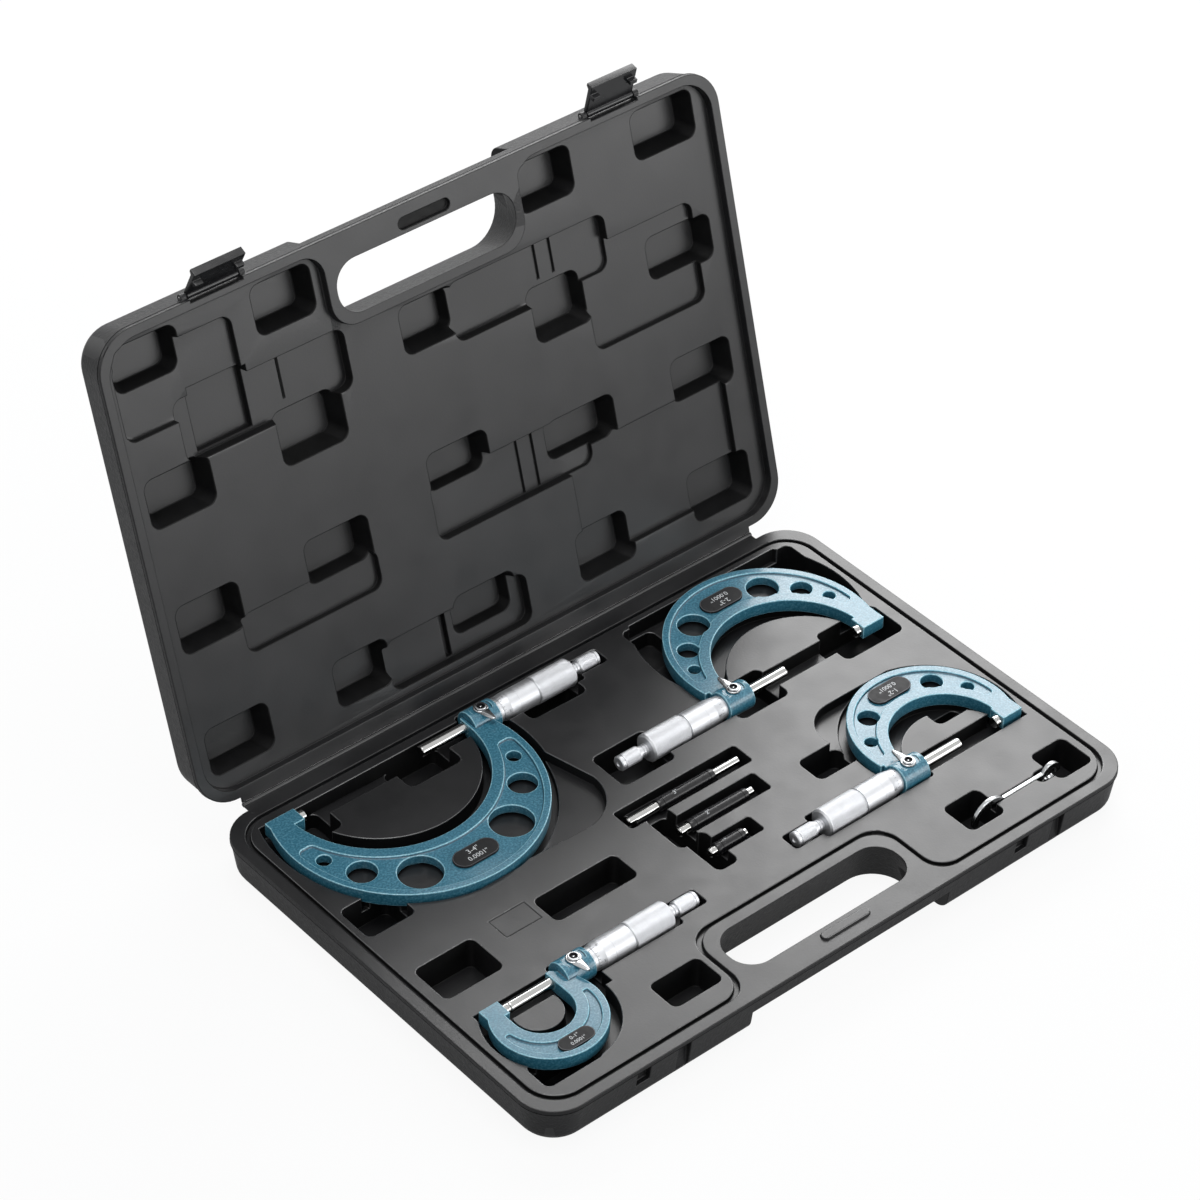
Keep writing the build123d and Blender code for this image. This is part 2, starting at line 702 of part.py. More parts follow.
for tool in micrometers:
    name = tool["name"]
    plane = tool_plane(tool)
    boss_start = tool["boss_start"]
    boss_end, thimble_start, thimble_end, neck_end, ratchet_end = tool_stations(tool)
    screw_plane = shifted(plane, boss_start + lock_screw_setback, 0, lock_flat_height)
    plate_y, plate_width, plate_height = tool["plate"]
    web_half = frame_half_thickness - web_recess
    plate_plane = shifted(plane, tool["bow_centre"], plate_y, web_half)
    spindle_bore = measuring_radius + running_fit

    with BuildPart() as frame:
        with BuildSketch(shifted(plane, 0, 0, -frame_half_thickness)):
            draw_bow(tool)
            with Locations((boss_end, -boss_radius - overrun)):
                Rectangle(far, far, align=(Align.MIN, Align.MIN), mode=Mode.SUBTRACT)
            for offset, y, radius in tool["holes"]:
                with Locations(
                    (tool["bow_centre"] - offset, y), (tool["bow_centre"] + offset, y)
                ):
                    Circle(radius, mode=Mode.SUBTRACT)
        extrude(amount=2 * frame_half_thickness)
        round_bar(plane, boss_start, boss_length, boss_radius)
        for web_bottom in (web_half, -frame_half_thickness):
            with BuildSketch(shifted(plane, 0, 0, web_bottom)) as web:
                draw_web(tool)
                fillet(web.vertices(), radius=web_end_rounding(tool))
            extrude(amount=web_recess, mode=Mode.SUBTRACT)
        with BuildSketch(plate_plane):
            SlotOverall(plate_width + 2 * press_fit, plate_height + 2 * press_fit)
        extrude(amount=web_recess, mode=Mode.SUBTRACT)
        seat_start = -anvil_reach - anvil_seat
        anvil_bore = measuring_radius + press_fit
        round_bar(plane, seat_start, anvil_seat + anvil_reach + overrun, anvil_bore, Mode.SUBTRACT)
        bore_length = spindle_bore_lead + boss_length + overrun
        round_bar(plane, boss_start - spindle_bore_lead, bore_length, spindle_bore, Mode.SUBTRACT)
        with BuildSketch(screw_plane):
            Circle(lock_flat_radius)
        extrude(amount=boss_radius, mode=Mode.SUBTRACT)
        with BuildSketch(screw_plane):
            Circle(lock_screw_shank_radius + press_fit)
        extrude(amount=-lock_screw_hole_depth, mode=Mode.SUBTRACT)
    save(frame, f"{name}_frame")

    with BuildPart() as plate:
        with BuildSketch(plate_plane):
            SlotOverall(plate_width, plate_height)
        extrude(amount=web_recess)
    save(plate, f"{name}_plate")

    with BuildPart() as anvil:
        round_bar(plane, seat_start, -seat_start, measuring_radius)
    save(anvil, f"{name}_anvil")

    sleeve_bore = measuring_radius + sleeve_bore_clearance
    sleeve_end = boss_end + sleeve_length
    with BuildPart() as sleeve:
        round_bar(plane, boss_end, sleeve_length, sleeve_radius)
        round_bar(plane, boss_end, sleeve_length, sleeve_bore, Mode.SUBTRACT)
    save(sleeve, f"{name}_sleeve")

    with BuildPart() as adjusting_nut:
        round_bar(plane, sleeve_end, nut_length, nut_radius)
        round_bar(plane, sleeve_end, nut_length, spindle_bore, Mode.SUBTRACT)
    save(adjusting_nut, f"{name}_adjusting_nut")

    cap_start = thimble_end - thimble_cap
    with BuildPart() as spindle:
        round_bar(plane, tool["gap"], cap_start - tool["gap"], measuring_radius)
    save(spindle, f"{name}_spindle")

    with BuildPart() as thimble:
        knurl_start = thimble_start + thimble_plain
        turned(
            plane,
            [
                (thimble_start, thimble_bore),
                (thimble_start, thimble_radius),
                (knurl_start, thimble_radius),
                (knurl_start, knurl_radius),
                (thimble_end, knurl_radius),
                (thimble_end, 0),
                (cap_start, 0),
                (cap_start, thimble_bore),
            ],
        )
    save(thimble, f"{name}_thimble")

    with BuildPart() as ratchet:
        round_bar(plane, thimble_end, ratchet_neck, ratchet_neck_radius)
        round_bar(plane, neck_end, ratchet_length, ratchet_radius)
    save(ratchet, f"{name}_ratchet")

    with BuildPart() as lock_lever:
        with BuildSketch(shifted(screw_plane, 0, 0, lock_lever_gap)):
            Circle(lock_lever_radius)
            with BuildLine():
                Polyline(
                    (-lock_lever_shoulder, 0),
                    (-lock_lever_tip, -lock_lever_length),
                    (lock_lever_tip, -lock_lever_length),
                    (lock_lever_shoulder, 0),
                    close=True,
                )
            make_face()
            Circle(lock_screw_shank_radius + running_fit, mode=Mode.SUBTRACT)
        extrude(amount=lock_lever_thickness)
    save(lock_lever, f"{name}_lock_lever")

    head_bottom = lock_lever_gap + lock_lever_thickness + lock_screw_head_gap
    with BuildPart() as lock_screw:
        with BuildSketch(shifted(screw_plane, 0, 0, head_bottom)):
            Circle(lock_screw_head_radius)
        extrude(amount=lock_screw_head_height)
        with BuildSketch(shifted(screw_plane, 0, 0, -lock_screw_depth)):
            Circle(lock_screw_shank_radius)
        extrude(amount=lock_screw_depth + head_bottom)
    save(lock_screw, f"{name}_lock_screw")

for name, length, (x, y), grip_length, grip_shift in standards:
    middle = shifted(rim_plane, x, y, -standard_depth)
    with BuildPart() as rod:
        round_bar(middle, -length / 2, length, standard_rod_radius)
    save(rod, f"{name}_rod")
    with BuildPart() as grip:
        grip_start = grip_shift - grip_length / 2
        round_bar(middle, grip_start, grip_length, standard_grip_radius)
        round_bar(
            middle, grip_start, grip_length, standard_rod_radius + press_fit, Mode.SUBTRACT
        )
    save(grip, f"{name}_grip")

spanner_plane = Plane(
    origin=(0, spanner_across + spanner_thickness / 2, base_height),
    x_dir=(1, 0, 0),
    z_dir=(0, -1, 0),
)
with BuildPart() as spanner:
    with BuildSketch(spanner_plane):
        with Locations(spanner_hook_centre):
            Circle(spanner_hook_radius)
            Circle(spanner_hook_radius - spanner_hook_width, mode=Mode.SUBTRACT)
        drop_below(spanner_hook_floor)
        bar_floor = spanner_bar_top - spanner_bar_height
        with Locations((spanner_hook_centre[0], bar_floor)):
            Rectangle(far, far, align=(Align.MIN, Align.MAX), mode=Mode.SUBTRACT)
        with Locations((spanner_bar_left, bar_floor)):
            Rectangle(
                spanner_bar_right - spanner_bar_left,
                spanner_bar_height,
                align=(Align.MIN, Align.MIN),
            )
        with Locations(spanner_eye_centre):
            Circle(spanner_eye_radius)
            Circle(spanner_eye_bore, mode=Mode.SUBTRACT)
            with Locations((spanner_eye_mouth_left, spanner_eye_mouth_top)):
                Rectangle(
                    spanner_eye_radius,
                    2 * spanner_eye_radius,
                    align=(Align.MIN, Align.MAX),
                    mode=Mode.SUBTRACT,
                )
    extrude(amount=spanner_thickness)
    pin_x = spanner_eye_centre[0] + spanner_pin_place[0]
    pin_y = spanner_eye_centre[1] + spanner_pin_place[1]
    with BuildSketch(shifted(spanner_plane, pin_x, pin_y, spanner_thickness)):
        Circle(spanner_pin_radius)
    extrude(amount=spanner_pin_reach)
save(spanner, "spanner")
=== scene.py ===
from math import cos, pi, radians, sin, sqrt

import bmesh
import bpy
from mathutils import Matrix, Vector
from mathutils.bvhtree import BVHTree
from mathutils.geometry import delaunay_2d_cdt


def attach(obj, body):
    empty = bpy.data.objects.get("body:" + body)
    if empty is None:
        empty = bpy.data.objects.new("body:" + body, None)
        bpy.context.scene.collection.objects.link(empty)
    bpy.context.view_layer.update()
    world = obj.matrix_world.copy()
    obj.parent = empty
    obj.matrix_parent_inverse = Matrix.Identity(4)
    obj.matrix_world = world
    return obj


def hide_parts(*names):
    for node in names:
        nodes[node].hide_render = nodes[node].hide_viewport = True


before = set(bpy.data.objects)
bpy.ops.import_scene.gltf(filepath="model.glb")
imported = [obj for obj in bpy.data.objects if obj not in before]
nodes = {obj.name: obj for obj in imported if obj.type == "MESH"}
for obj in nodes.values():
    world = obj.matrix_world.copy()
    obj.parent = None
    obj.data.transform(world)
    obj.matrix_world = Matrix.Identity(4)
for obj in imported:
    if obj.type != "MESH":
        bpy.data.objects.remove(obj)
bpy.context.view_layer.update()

scene = bpy.context.scene
MM = 0.001
RIM = 25.0
HINGE_Y = 138.3
LID_OPEN = radians(105.6)
CASE_HALF_WIDTH = 200.0
CASE_HALF_DEPTH = 133.7
# Inside these the walls of the recesses get a painted shade.
WALLS_HALF_WIDTH = 191.5
WALLS_HALF_DEPTH = 125.0
# The grip round the hand hole, and the locating bar or slot in the middle of it.
GRIP_HALF_WIDTH = 64.6
GRIP_BACK = -81.4
BAR_X = 2.1
BAR_Y = -123.5
CREASE_LEFT = -177.0
CREASE_RIGHT = 174.0
CREASE_RADIUS = 1.24

# Each micrometer: anvil face, heading, measuring gap, start of the boss, centre of the bow,
# name plate (across, width, height) and the two lines of its lettering.
TOOLS = {
    "micrometer_3_to_4": {
        "at": (-157.3, 112.7), "heading": 1, "gap": 76.2, "boss": 107.8,
        "bow": 47.8, "plate": (-81.0, 27.0, 12.5), "lines": ("3-4\"", "0.0001\""),
    },
    "micrometer_2_to_3": {
        "at": (160.2, 39.5), "heading": -1, "gap": 50.8, "boss": 78.8,
        "bow": 39.9, "plate": (-63.3, 27.0, 12.5), "lines": ("2-3\"", "0.0001\""),
    },
    "micrometer_1_to_2": {
        "at": (166.5, -61.5), "heading": -1, "gap": 25.4, "boss": 53.5,
        "bow": 27.2, "plate": (-51.2, 27.0, 12.0), "lines": ("1-2\"", "0.0001\""),
    },
    "micrometer_0_to_1": {
        "at": (-164.6, -61.2), "heading": 1, "gap": 0.05, "boss": 32.5,
        "bow": 10.0, "plate": (-39.8, 21.0, 9.0), "lines": ("0-1\"", "0.0001\""),
    },
}
BOSS_LENGTH = 17.5
SLEEVE_EXPOSED = 3.0
SLEEVE_LENGTH = 34.0
SLEEVE_RADIUS = 6.7
THIMBLE_LENGTH = 49.5
THIMBLE_PLAIN = 24.0
THIMBLE_RADIUS = 7.7
THIMBLE_BORE = 6.78
KNURL_RADIUS = 8.0
THIMBLE_CAP = 4.0
NECK_LENGTH = 5.3
NECK_RADIUS = 3.4
RATCHET_LENGTH = 13.5
RATCHET_RADIUS = 4.3
MEASURING_RADIUS = 3.175
SCREW_SETBACK = 9.0
FLAT_HEIGHT = 7.6
FRAME_HALF = 4.0

STANDARDS = {
    "standard_3": {"at": (7.0, 5.0), "length": 76.2, "grip": (1.2, 38.4), "mark": "3\""},
    "standard_2": {"at": (9.9, -17.3), "length": 50.8, "grip": (1.3, 39.6), "mark": "2\""},
    "standard_1": {"at": (-1.1, -38.9), "length": 25.4, "grip": (1.0, 19.0), "mark": "1\""},
}
STANDARD_DROP = 3.2
ROD_RADIUS = 2.6
GRIP_RADIUS = 3.6


# ---------------------------------------------------------------- materials
class Finish:
    """A principled material with a few helpers that add procedural detail to it."""

    def __init__(self, name, colour, roughness, metallic=0.0, **sockets):
        self.material = bpy.data.materials.new(name)
        self.material.use_nodes = True
        self.tree = self.material.node_tree
        self.shader = self.tree.nodes["Principled BSDF"]
        self.shader.inputs["Base Color"].default_value = (*colour, 1.0)
        self.shader.inputs["Roughness"].default_value = roughness
        self.shader.inputs["Metallic"].default_value = metallic
        for socket, value in sockets.items():
            self.shader.inputs[socket.replace("_", " ")].default_value = value
        self.place = self.node("ShaderNodeTexCoord").outputs["Object"]
        self.last_bump = None

    def node(self, kind, **settings):
        made = self.tree.nodes.new(kind)
        for key, value in settings.items():
            setattr(made, key, value)
        return made

    def link(self, a, b):
        self.tree.links.new(a, b)

    def noise(self, scale, detail=2.0, stretch=(1, 1, 1), roughness=0.5):
        mapping = self.node("ShaderNodeMapping")
        mapping.inputs["Scale"].default_value = stretch
        self.link(self.place, mapping.inputs["Vector"])
        noise = self.node("ShaderNodeTexNoise")
        noise.inputs["Scale"].default_value = scale
        noise.inputs["Detail"].default_value = detail
        noise.inputs["Roughness"].default_value = roughness
        self.link(mapping.outputs["Vector"], noise.inputs["Vector"])
        return noise.outputs["Fac"]

    def cells(self, scale, smooth=1.0):
        cells = self.node("ShaderNodeTexVoronoi", feature="SMOOTH_F1")
        cells.inputs["Scale"].default_value = scale
        cells.inputs["Smoothness"].default_value = smooth
        self.link(self.place, cells.inputs["Vector"])
        return cells.outputs["Distance"]

    def ramp(self, value, low, high, start, end):
        ramp = self.node("ShaderNodeMapRange")
        ramp.inputs["From Min"].default_value = low
        ramp.inputs["From Max"].default_value = high
        ramp.inputs["To Min"].default_value = start
        ramp.inputs["To Max"].default_value = end
        self.link(value, ramp.inputs["Value"])
        return ramp.outputs["Result"]

    def tint(self, value, stops):
        """Colour the surface by a value, through a colour ramp."""
        ramp = self.node("ShaderNodeValToRGB")
        ramp.color_ramp.elements[0].position = stops[0][0]
        ramp.color_ramp.elements[0].color = (*stops[0][1], 1)
        ramp.color_ramp.elements[1].position = stops[-1][0]
        ramp.color_ramp.elements[1].color = (*stops[-1][1], 1)
        for position, colour in stops[1:-1]:
            ramp.color_ramp.elements.new(position).color = (*colour, 1)
        self.link(value, ramp.inputs["Fac"])
        self.link(ramp.outputs["Color"], self.shader.inputs["Base Color"])
        return ramp

    def rough(self, value, low, high, start, end):
        self.link(self.ramp(value, low, high, start, end), self.shader.inputs["Roughness"])

    def bump(self, value, strength, distance):
        bump = self.node("ShaderNodeBump")
        bump.inputs["Strength"].default_value = strength
        bump.inputs["Distance"].default_value = distance
        self.link(value, bump.inputs["Height"])
        if self.last_bump:
            self.link(self.last_bump, bump.inputs["Normal"])
        self.last_bump = bump.outputs["Normal"]
        self.link(self.last_bump, self.shader.inputs["Normal"])


def moulded_plastic():
    """The smooth inside of the mouldings, with faint flow marks."""
    finish = Finish("case_black", (0.008, 0.008, 0.009), 0.34, Specular_IOR_Level=0.62)
    cloud = finish.noise(14, 4)
    finish.tint(cloud, [(0.3, (0.006, 0.006, 0.0065)), (0.7, (0.010, 0.010, 0.011))])
    finish.rough(finish.noise(60, 4), 0.3, 0.7, 0.30, 0.37)
    finish.bump(finish.noise(900, 2), 0.14, 0.0002)
    finish.bump(finish.noise(90, 2, (1, 6, 6)), 0.02, 0.0003)
    return finish.material


def highlight_plastic():
    """The rounded outer edges of the base, coloured much lighter than the case: a painted
    highlight.
    """
    finish = Finish("case_black_painted_highlight", (0.050, 0.050, 0.051), 0.24, Specular_IOR_Level=1.0)
    finish.tint(finish.noise(40, 3), [(0.3, (0.038, 0.038, 0.039)), (0.7, (0.062, 0.062, 0.063))])
    finish.rough(finish.noise(200, 3), 0.3, 0.7, 0.20, 0.30)
    finish.bump(finish.noise(900, 2), 0.05, 0.0001)
    return finish.material


def shade_plastic():
    """The steep walls and the feet of the recesses, and the lid's edges: coloured darker and
    duller than the case, a painted shade.
    """
    finish = Finish("case_black_painted_shade", (0.004, 0.004, 0.004), 0.50, Specular_IOR_Level=0.22)
    finish.tint(finish.noise(30, 3), [(0.3, (0.003, 0.003, 0.003)), (0.7, (0.005, 0.005, 0.0055))])
    finish.rough(finish.noise(200, 3), 0.3, 0.7, 0.44, 0.56)
    finish.bump(finish.noise(700, 3), 0.10, 0.0002)
    return finish.material


def grained_plastic():
    """The grained outside of the mouldings."""
    finish = Finish("case_black_grained", (0.009, 0.009, 0.010), 0.42, Specular_IOR_Level=0.40)
    finish.tint(finish.noise(30, 4), [(0.3, (0.007, 0.007, 0.0075)), (0.7, (0.012, 0.012, 0.013))])
    finish.rough(finish.noise(500, 3), 0.3, 0.7, 0.36, 0.48)
    finish.bump(finish.cells(700, 0.5), 0.34, 0.0003)
    finish.bump(finish.noise(1100, 3), 0.45, 0.0003)
    return finish.material


def latch_plastic():
    finish = Finish("latch_black", (0.012, 0.012, 0.013), 0.22)
    finish.rough(finish.noise(120, 3), 0.3, 0.7, 0.18, 0.3)
    finish.tint(finish.noise(60, 2), [(0.3, (0.010, 0.010, 0.011)), (0.7, (0.018, 0.018, 0.019))])
    finish.bump(finish.noise(500, 2), 0.05, 0.0001)
    return finish.material


def hammered_paint(name, deep, middle, pale):
    finish = Finish(name, middle, 0.34, Coat_Weight=0.6, Coat_Roughness=0.12)
    speckle = finish.noise(900, 3)
    finish.tint(speckle, [(0.34, deep), (0.5, middle), (0.68, pale)])
    finish.rough(finish.noise(300, 2), 0.3, 0.7, 0.28, 0.40)
    finish.bump(finish.cells(900), 0.16, 0.0002)
    finish.bump(finish.noise(1500, 2), 0.08, 0.0001)
    return finish.material


def turned_metal(name, colour, roughness, ring_scale, strength):
    """Metal turned about the X direction: fine rings across the axis."""
    finish = Finish(name, colour, roughness, 1.0)
    rings = finish.noise(ring_scale, 3, (1, 0.02, 0.02))
    finish.rough(rings, 0.3, 0.7, roughness - 0.06, roughness + 0.08)
    light = tuple(min(1.0, c * 1.03) for c in colour)
    dark = tuple(c * 0.96 for c in colour)
    finish.tint(finish.noise(200, 3), [(0.3, dark), (0.7, light)])
    finish.bump(rings, strength, 0.00005)
    return finish.material


def plain_metal(name, colour, roughness):
    finish = Finish(name, colour, roughness, 1.0)
    finish.rough(finish.noise(400, 3), 0.3, 0.7, roughness - 0.05, roughness + 0.07)
    finish.tint(
        finish.noise(60, 3),
        [(0.3, tuple(c * 0.9 for c in colour)), (0.7, tuple(min(1.0, c * 1.05) for c in colour))],
    )
    finish.bump(finish.noise(900, 2), 0.05, 0.00005)
    return finish.material


def soft_black(name, colour, roughness, strength, shine):
    finish = Finish(name, colour, roughness, Specular_IOR_Level=shine)
    finish.rough(finish.noise(500, 3), 0.3, 0.7, roughness - 0.06, roughness + 0.08)
    finish.tint(
        finish.noise(200, 3),
        [(0.3, tuple(c * 0.8 for c in colour)), (0.7, tuple(c * 1.3 for c in colour))],
    )
    finish.bump(finish.noise(1400, 2), strength, 0.0001)
    return finish.material


def printed(name, colour):
    finish = Finish(name, colour, 0.55)
    finish.tint(
        finish.noise(900, 3),
        [(0.3, tuple(c * 0.82 for c in colour)), (0.7, colour)],
    )
    return finish.material


case_black = moulded_plastic()
case_grained = grained_plastic()
latch_black = latch_plastic()
# Painted highlight: a lighter black for the rounded outer edges of the base.
case_highlight = highlight_plastic()
# Painted shade: a darker, duller black for recess walls, wall feet and the lid's edges.
case_shade = shade_plastic()
frame_teal = hammered_paint(
    "frame_teal", (0.018, 0.122, 0.184), (0.034, 0.168, 0.245), (0.090, 0.265, 0.355)
)
# Painted highlight: a much paler teal for the rounded edges of the frames.
frame_highlight = hammered_paint(
    "frame_teal_painted_highlight", (0.150, 0.400, 0.500), (0.230, 0.500, 0.600), (0.420, 0.680, 0.760)
)
# Painted shade: a darker teal for the rounded feet of the frames' walls.
frame_shade = hammered_paint(
    "frame_teal_painted_shade", (0.006, 0.050, 0.085), (0.010, 0.065, 0.105), (0.020, 0.090, 0.135)
)
satin_chrome = turned_metal("satin_chrome_turned", (0.60, 0.61, 0.63), 0.50, 1500, 0.05)
knurl_chrome = turned_metal("satin_chrome_knurl", (0.60, 0.61, 0.63), 0.50, 1500, 0.0)
bright_steel = turned_metal("bright_steel_ground", (0.50, 0.50, 0.49), 0.12, 1500, 0.0)
polished_chrome = plain_metal("polished_chrome", (0.44, 0.45, 0.46), 0.20)
pin_steel = plain_metal("pin_steel", (0.62, 0.62, 0.62), 0.28)
# Painted shade: near black for the inside of the lock screw's socket.
painted_socket_shade = plain_metal("painted_socket_shade", (0.02, 0.02, 0.022), 0.5)
rim_grey = printed("plate_rim_grey", (0.10, 0.10, 0.11))
plate_black = soft_black("plate_black_enamel", (0.008, 0.008, 0.009), 0.52, 0.02, 0.25)
grip_black = soft_black("grip_black_plastic", (0.008, 0.008, 0.009), 0.26, 0.01, 0.45)
print_light = printed("print_light", (0.72, 0.74, 0.75))
print_dark = printed("print_dark", (0.03, 0.03, 0.035))


# ---------------------------------------------------------------- CAD shapes with softened edges
def edge_room(edge, sharp):
    """How wide an edge can be rounded before it meets the next one, in metres."""
    room = 1.0
    for vertex in edge.verts:
        run = (edge.other_vert(vertex).co - vertex.co).normalized()
        for face in edge.link_faces:
            beside = [e for e in vertex.link_edges if e is not edge and face in e.link_faces]
            for other in beside:
                end = other.other_vert(vertex)
                step = end.co - vertex.co
                lean = run.dot(step.normalized())
                if lean < -0.85:
                    continue
                across = step.length * sqrt(max(0.0, 1 - lean * lean))
                shared = any(e in sharp for e in end.link_edges if e is not other)
                room = min(room, across * (0.45 if shared or other in sharp else 0.9))
    return room


def mend_plates(mesh):
    """Cut up again each flat face that the rounding left folded over itself."""
    mesh.calc_loop_triangles()
    covered = {}
    for triangle in mesh.loop_triangles:
        covered[triangle.polygon_index] = covered.get(triangle.polygon_index, 0.0) + triangle.area
    work = bmesh.new()
    work.from_mesh(mesh)
    work.faces.ensure_lookup_table()
    folded = []
    for face in work.faces:
        if len(face.verts) > 4:
            net = Vector()
            for corner, after in zip(face.verts, list(face.verts[1:]) + [face.verts[0]]):
                net += corner.co.cross(after.co)
            if covered[face.index] > net.length / 2 * 1.00001 + 2e-8:
                folded.append((face, net.normalized()))
    doomed = []
    for face, up in folded:
        turn = up.rotation_difference(Vector((0, 0, 1))).to_matrix()
        corners = list(face.verts)
        flat = [(turn @ v.co) for v in corners]
        outline = [Vector((p.x * 1000, p.y * 1000)) for p in flat]
        count = len(corners)
        edges = [(i, (i + 1) % count) for i in range(count)]
        spots, _, cells, origins, _, _ = delaunay_2d_cdt(outline, edges, [], 0, 1e-5)
        back = turn.inverted()
        height = sum(p.z for p in flat) / count
        used = []
        for spot, origin in zip(spots, origins):
            if origin:
                used.append(corners[origin[0]])
            else:
                used.append(work.verts.new(back @ Vector((spot.x / 1000, spot.y / 1000, height))))
        for cell in cells:
            a, b, c = (spots[i] for i in cell)
            middle = (a + b + c) / 3
            turns = 0
            for i, k in edges:
                p, q = outline[i], outline[k]
                side = (q - p).cross(middle - p)
                if p.y <= middle.y < q.y and side > 0:
                    turns += 1
                elif q.y <= middle.y < p.y and side < 0:
                    turns -= 1
            ring = [used[i] for i in cell]
            if turns > 0 and len(set(ring)) == 3 and not work.faces.get(ring):
                made = work.faces.new(ring, face)
                made.smooth = True
        doomed.append(face)
    bmesh.ops.delete(work, geom=doomed, context="FACES_ONLY")
    work.to_mesh(mesh)
    work.free()


def settle(mesh, shape, reach, low, high):
    """Bring corners that a rounding threw off the shape back on to it, and into its box."""
    for vertex in mesh.vertices:
        near, _, _, gap = shape.find_nearest(vertex.co)
        if near is not None and gap > reach:
            vertex.co = near
        vertex.co = [min(max(c, a), b) for c, a, b in zip(vertex.co, low, high)]


def sink(mesh, cuts, place):
    """Sink extra steps and lines into a moulding: outlines, each with a top and a floor."""
    tool = bmesh.new()
    for outline, top, floor in cuts:
        count = len(outline)
        upper = [tool.verts.new(place(x, y, top)) for x, y in outline]
        lower = [tool.verts.new(place(x, y, floor)) for x, y in outline]
        tool.faces.new(upper)
        tool.faces.new(lower[::-1])
        for i in range(count):
            k = (i + 1) % count
            tool.faces.new((upper[k], upper[i], lower[i], lower[k]))
    bmesh.ops.recalc_face_normals(tool, faces=tool.faces)
    cutter_mesh = bpy.data.meshes.new("cutter")
    tool.to_mesh(cutter_mesh)
    tool.free()
    cutter = bpy.data.objects.new("cutter", cutter_mesh)
    block = bpy.data.objects.new("block", mesh)
    scene.collection.objects.link(cutter)
    scene.collection.objects.link(block)
    cut = block.modifiers.new("cut", "BOOLEAN")
    cut.operation = "DIFFERENCE"
    cut.solver = "EXACT"
    cut.object = cutter
    made = bpy.data.meshes.new_from_object(
        block.evaluated_get(bpy.context.evaluated_depsgraph_get())
    )
    bpy.data.objects.remove(block)
    bpy.data.objects.remove(cutter)
    return made


def soften(
    name, new_name, body, material, width, segments=2, angle=38, plates=False,
    cuts=(), place=None, light_and_shade_tones=(),
):
    """Stand for a CAD node with the same shape, its edges rounded where there is room.
    Plates are flat faces made whole first, so that every edge can take the same round.
    Tones are the painted highlight and painted shade: the materials of the rounded outer edges and
    of the feet of walls."""
    mesh = nodes[name].data.copy()
    mesh.name = new_name
    for attribute in ("custom_normal", "sharp_edge", "sharp_face"):
        if attribute in mesh.attributes:
            mesh.attributes.remove(mesh.attributes[attribute])
    work = bmesh.new()
    work.from_mesh(mesh)
    bmesh.ops.remove_doubles(work, verts=work.verts, dist=0.000001)
    if cuts:
        work.to_mesh(mesh)
        work.free()
        mesh = sink(mesh, cuts, place)
        mesh.name = new_name
        work = bmesh.new()
        work.from_mesh(mesh)
        bmesh.ops.remove_doubles(work, verts=work.verts, dist=0.000001)
    shape = BVHTree.FromBMesh(work)
    low = [min(v.co[i] for v in work.verts) for i in range(3)]
    high = [max(v.co[i] for v in work.verts) for i in range(3)]
    if plates:
        bmesh.ops.dissolve_limit(
            work, angle_limit=radians(0.6), verts=work.verts, edges=work.edges
        )
    weights = work.edges.layers.float.new("bevel_weight_edge")
    limit = radians(angle)
    sharp = {
        e for e in work.edges
        if len(e.link_faces) == 2 and e.calc_face_angle(0.0) > limit
    }
    for edge in sharp:
        roomy = plates or edge_room(edge, sharp) > 0.5 * width * MM
        edge[weights] = 1.0 if roomy else 0.0
    work.to_mesh(mesh)
    work.free()
    mesh.materials.clear()
    for tone in (material, *light_and_shade_tones):
        mesh.materials.append(tone)
    mesh.polygons.foreach_set("material_index", [0] * len(mesh.polygons))
    mesh.shade_smooth()
    piece = bpy.data.objects.new(new_name, mesh)
    scene.collection.objects.link(piece)
    rounding = piece.modifiers.new("rounding", "BEVEL")
    rounding.width = width * MM
    rounding.segments = segments
    rounding.limit_method = "WEIGHT"
    rounding.use_clamp_overlap = False
    # The rounded faces take the first tone, the painted light of the edges.
    rounding.material = 1 if light_and_shade_tones else -1
    rounded = bpy.data.meshes.new_from_object(
        piece.evaluated_get(bpy.context.evaluated_depsgraph_get())
    )
    piece.modifiers.remove(rounding)
    settle(rounded, shape, 0.32 * width * MM, low, high)
    mend_plates(rounded)
    # Rounded faces on hollow edges, at the feet of walls, take the second tone, a painted shade.
    for face in rounded.polygons:
        if face.material_index == 1:
            near = shape.find_nearest(face.center)[0]
            if near is not None and (near - face.center).dot(face.normal) < 0:
                face.material_index = 2
    piece.data = rounded
    shading = piece.modifiers.new("shading", "WEIGHTED_NORMAL")
    shading.weight = 90
    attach(piece, body)
    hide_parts(name)
    return piece


def base_place(point):
    """A place in the base's own rim directions: X, Y and height, in millimetres."""
    return point.x / MM, point.y / MM, point.z / MM - RIM


def lid_place(point):
    """A place in the open lid's own rim directions: X, Y and depth, in millimetres."""
    y, z = point.y / MM - HINGE_Y, point.z / MM - RIM
    across = HINGE_Y + y * cos(LID_OPEN) - z * sin(LID_OPEN)
    return point.x / MM, across, y * sin(LID_OPEN) + z * cos(LID_OPEN)


def grain_outside(piece, local, inset, floor):
    """Give the faces outside the rim line, and the grip round the hand hole, the grain."""
    mesh = piece.data
    grain = len(mesh.materials)
    mesh.materials.append(case_grained)
    outside = []
    for vertex in mesh.vertices:
        x, y, z = local(vertex.co)
        outside.append(
            (abs(x) > CASE_HALF_WIDTH - inset or abs(y) > CASE_HALF_DEPTH - inset
             or (abs(x) < GRIP_HALF_WIDTH and y < GRIP_BACK) or abs(z) > floor)
            and not (abs(x - BAR_X) < 17.2 and abs(y - BAR_Y) < 3.8)
        )
    for face in mesh.polygons:
        if all(outside[i] for i in face.vertices):
            face.material_index = grain


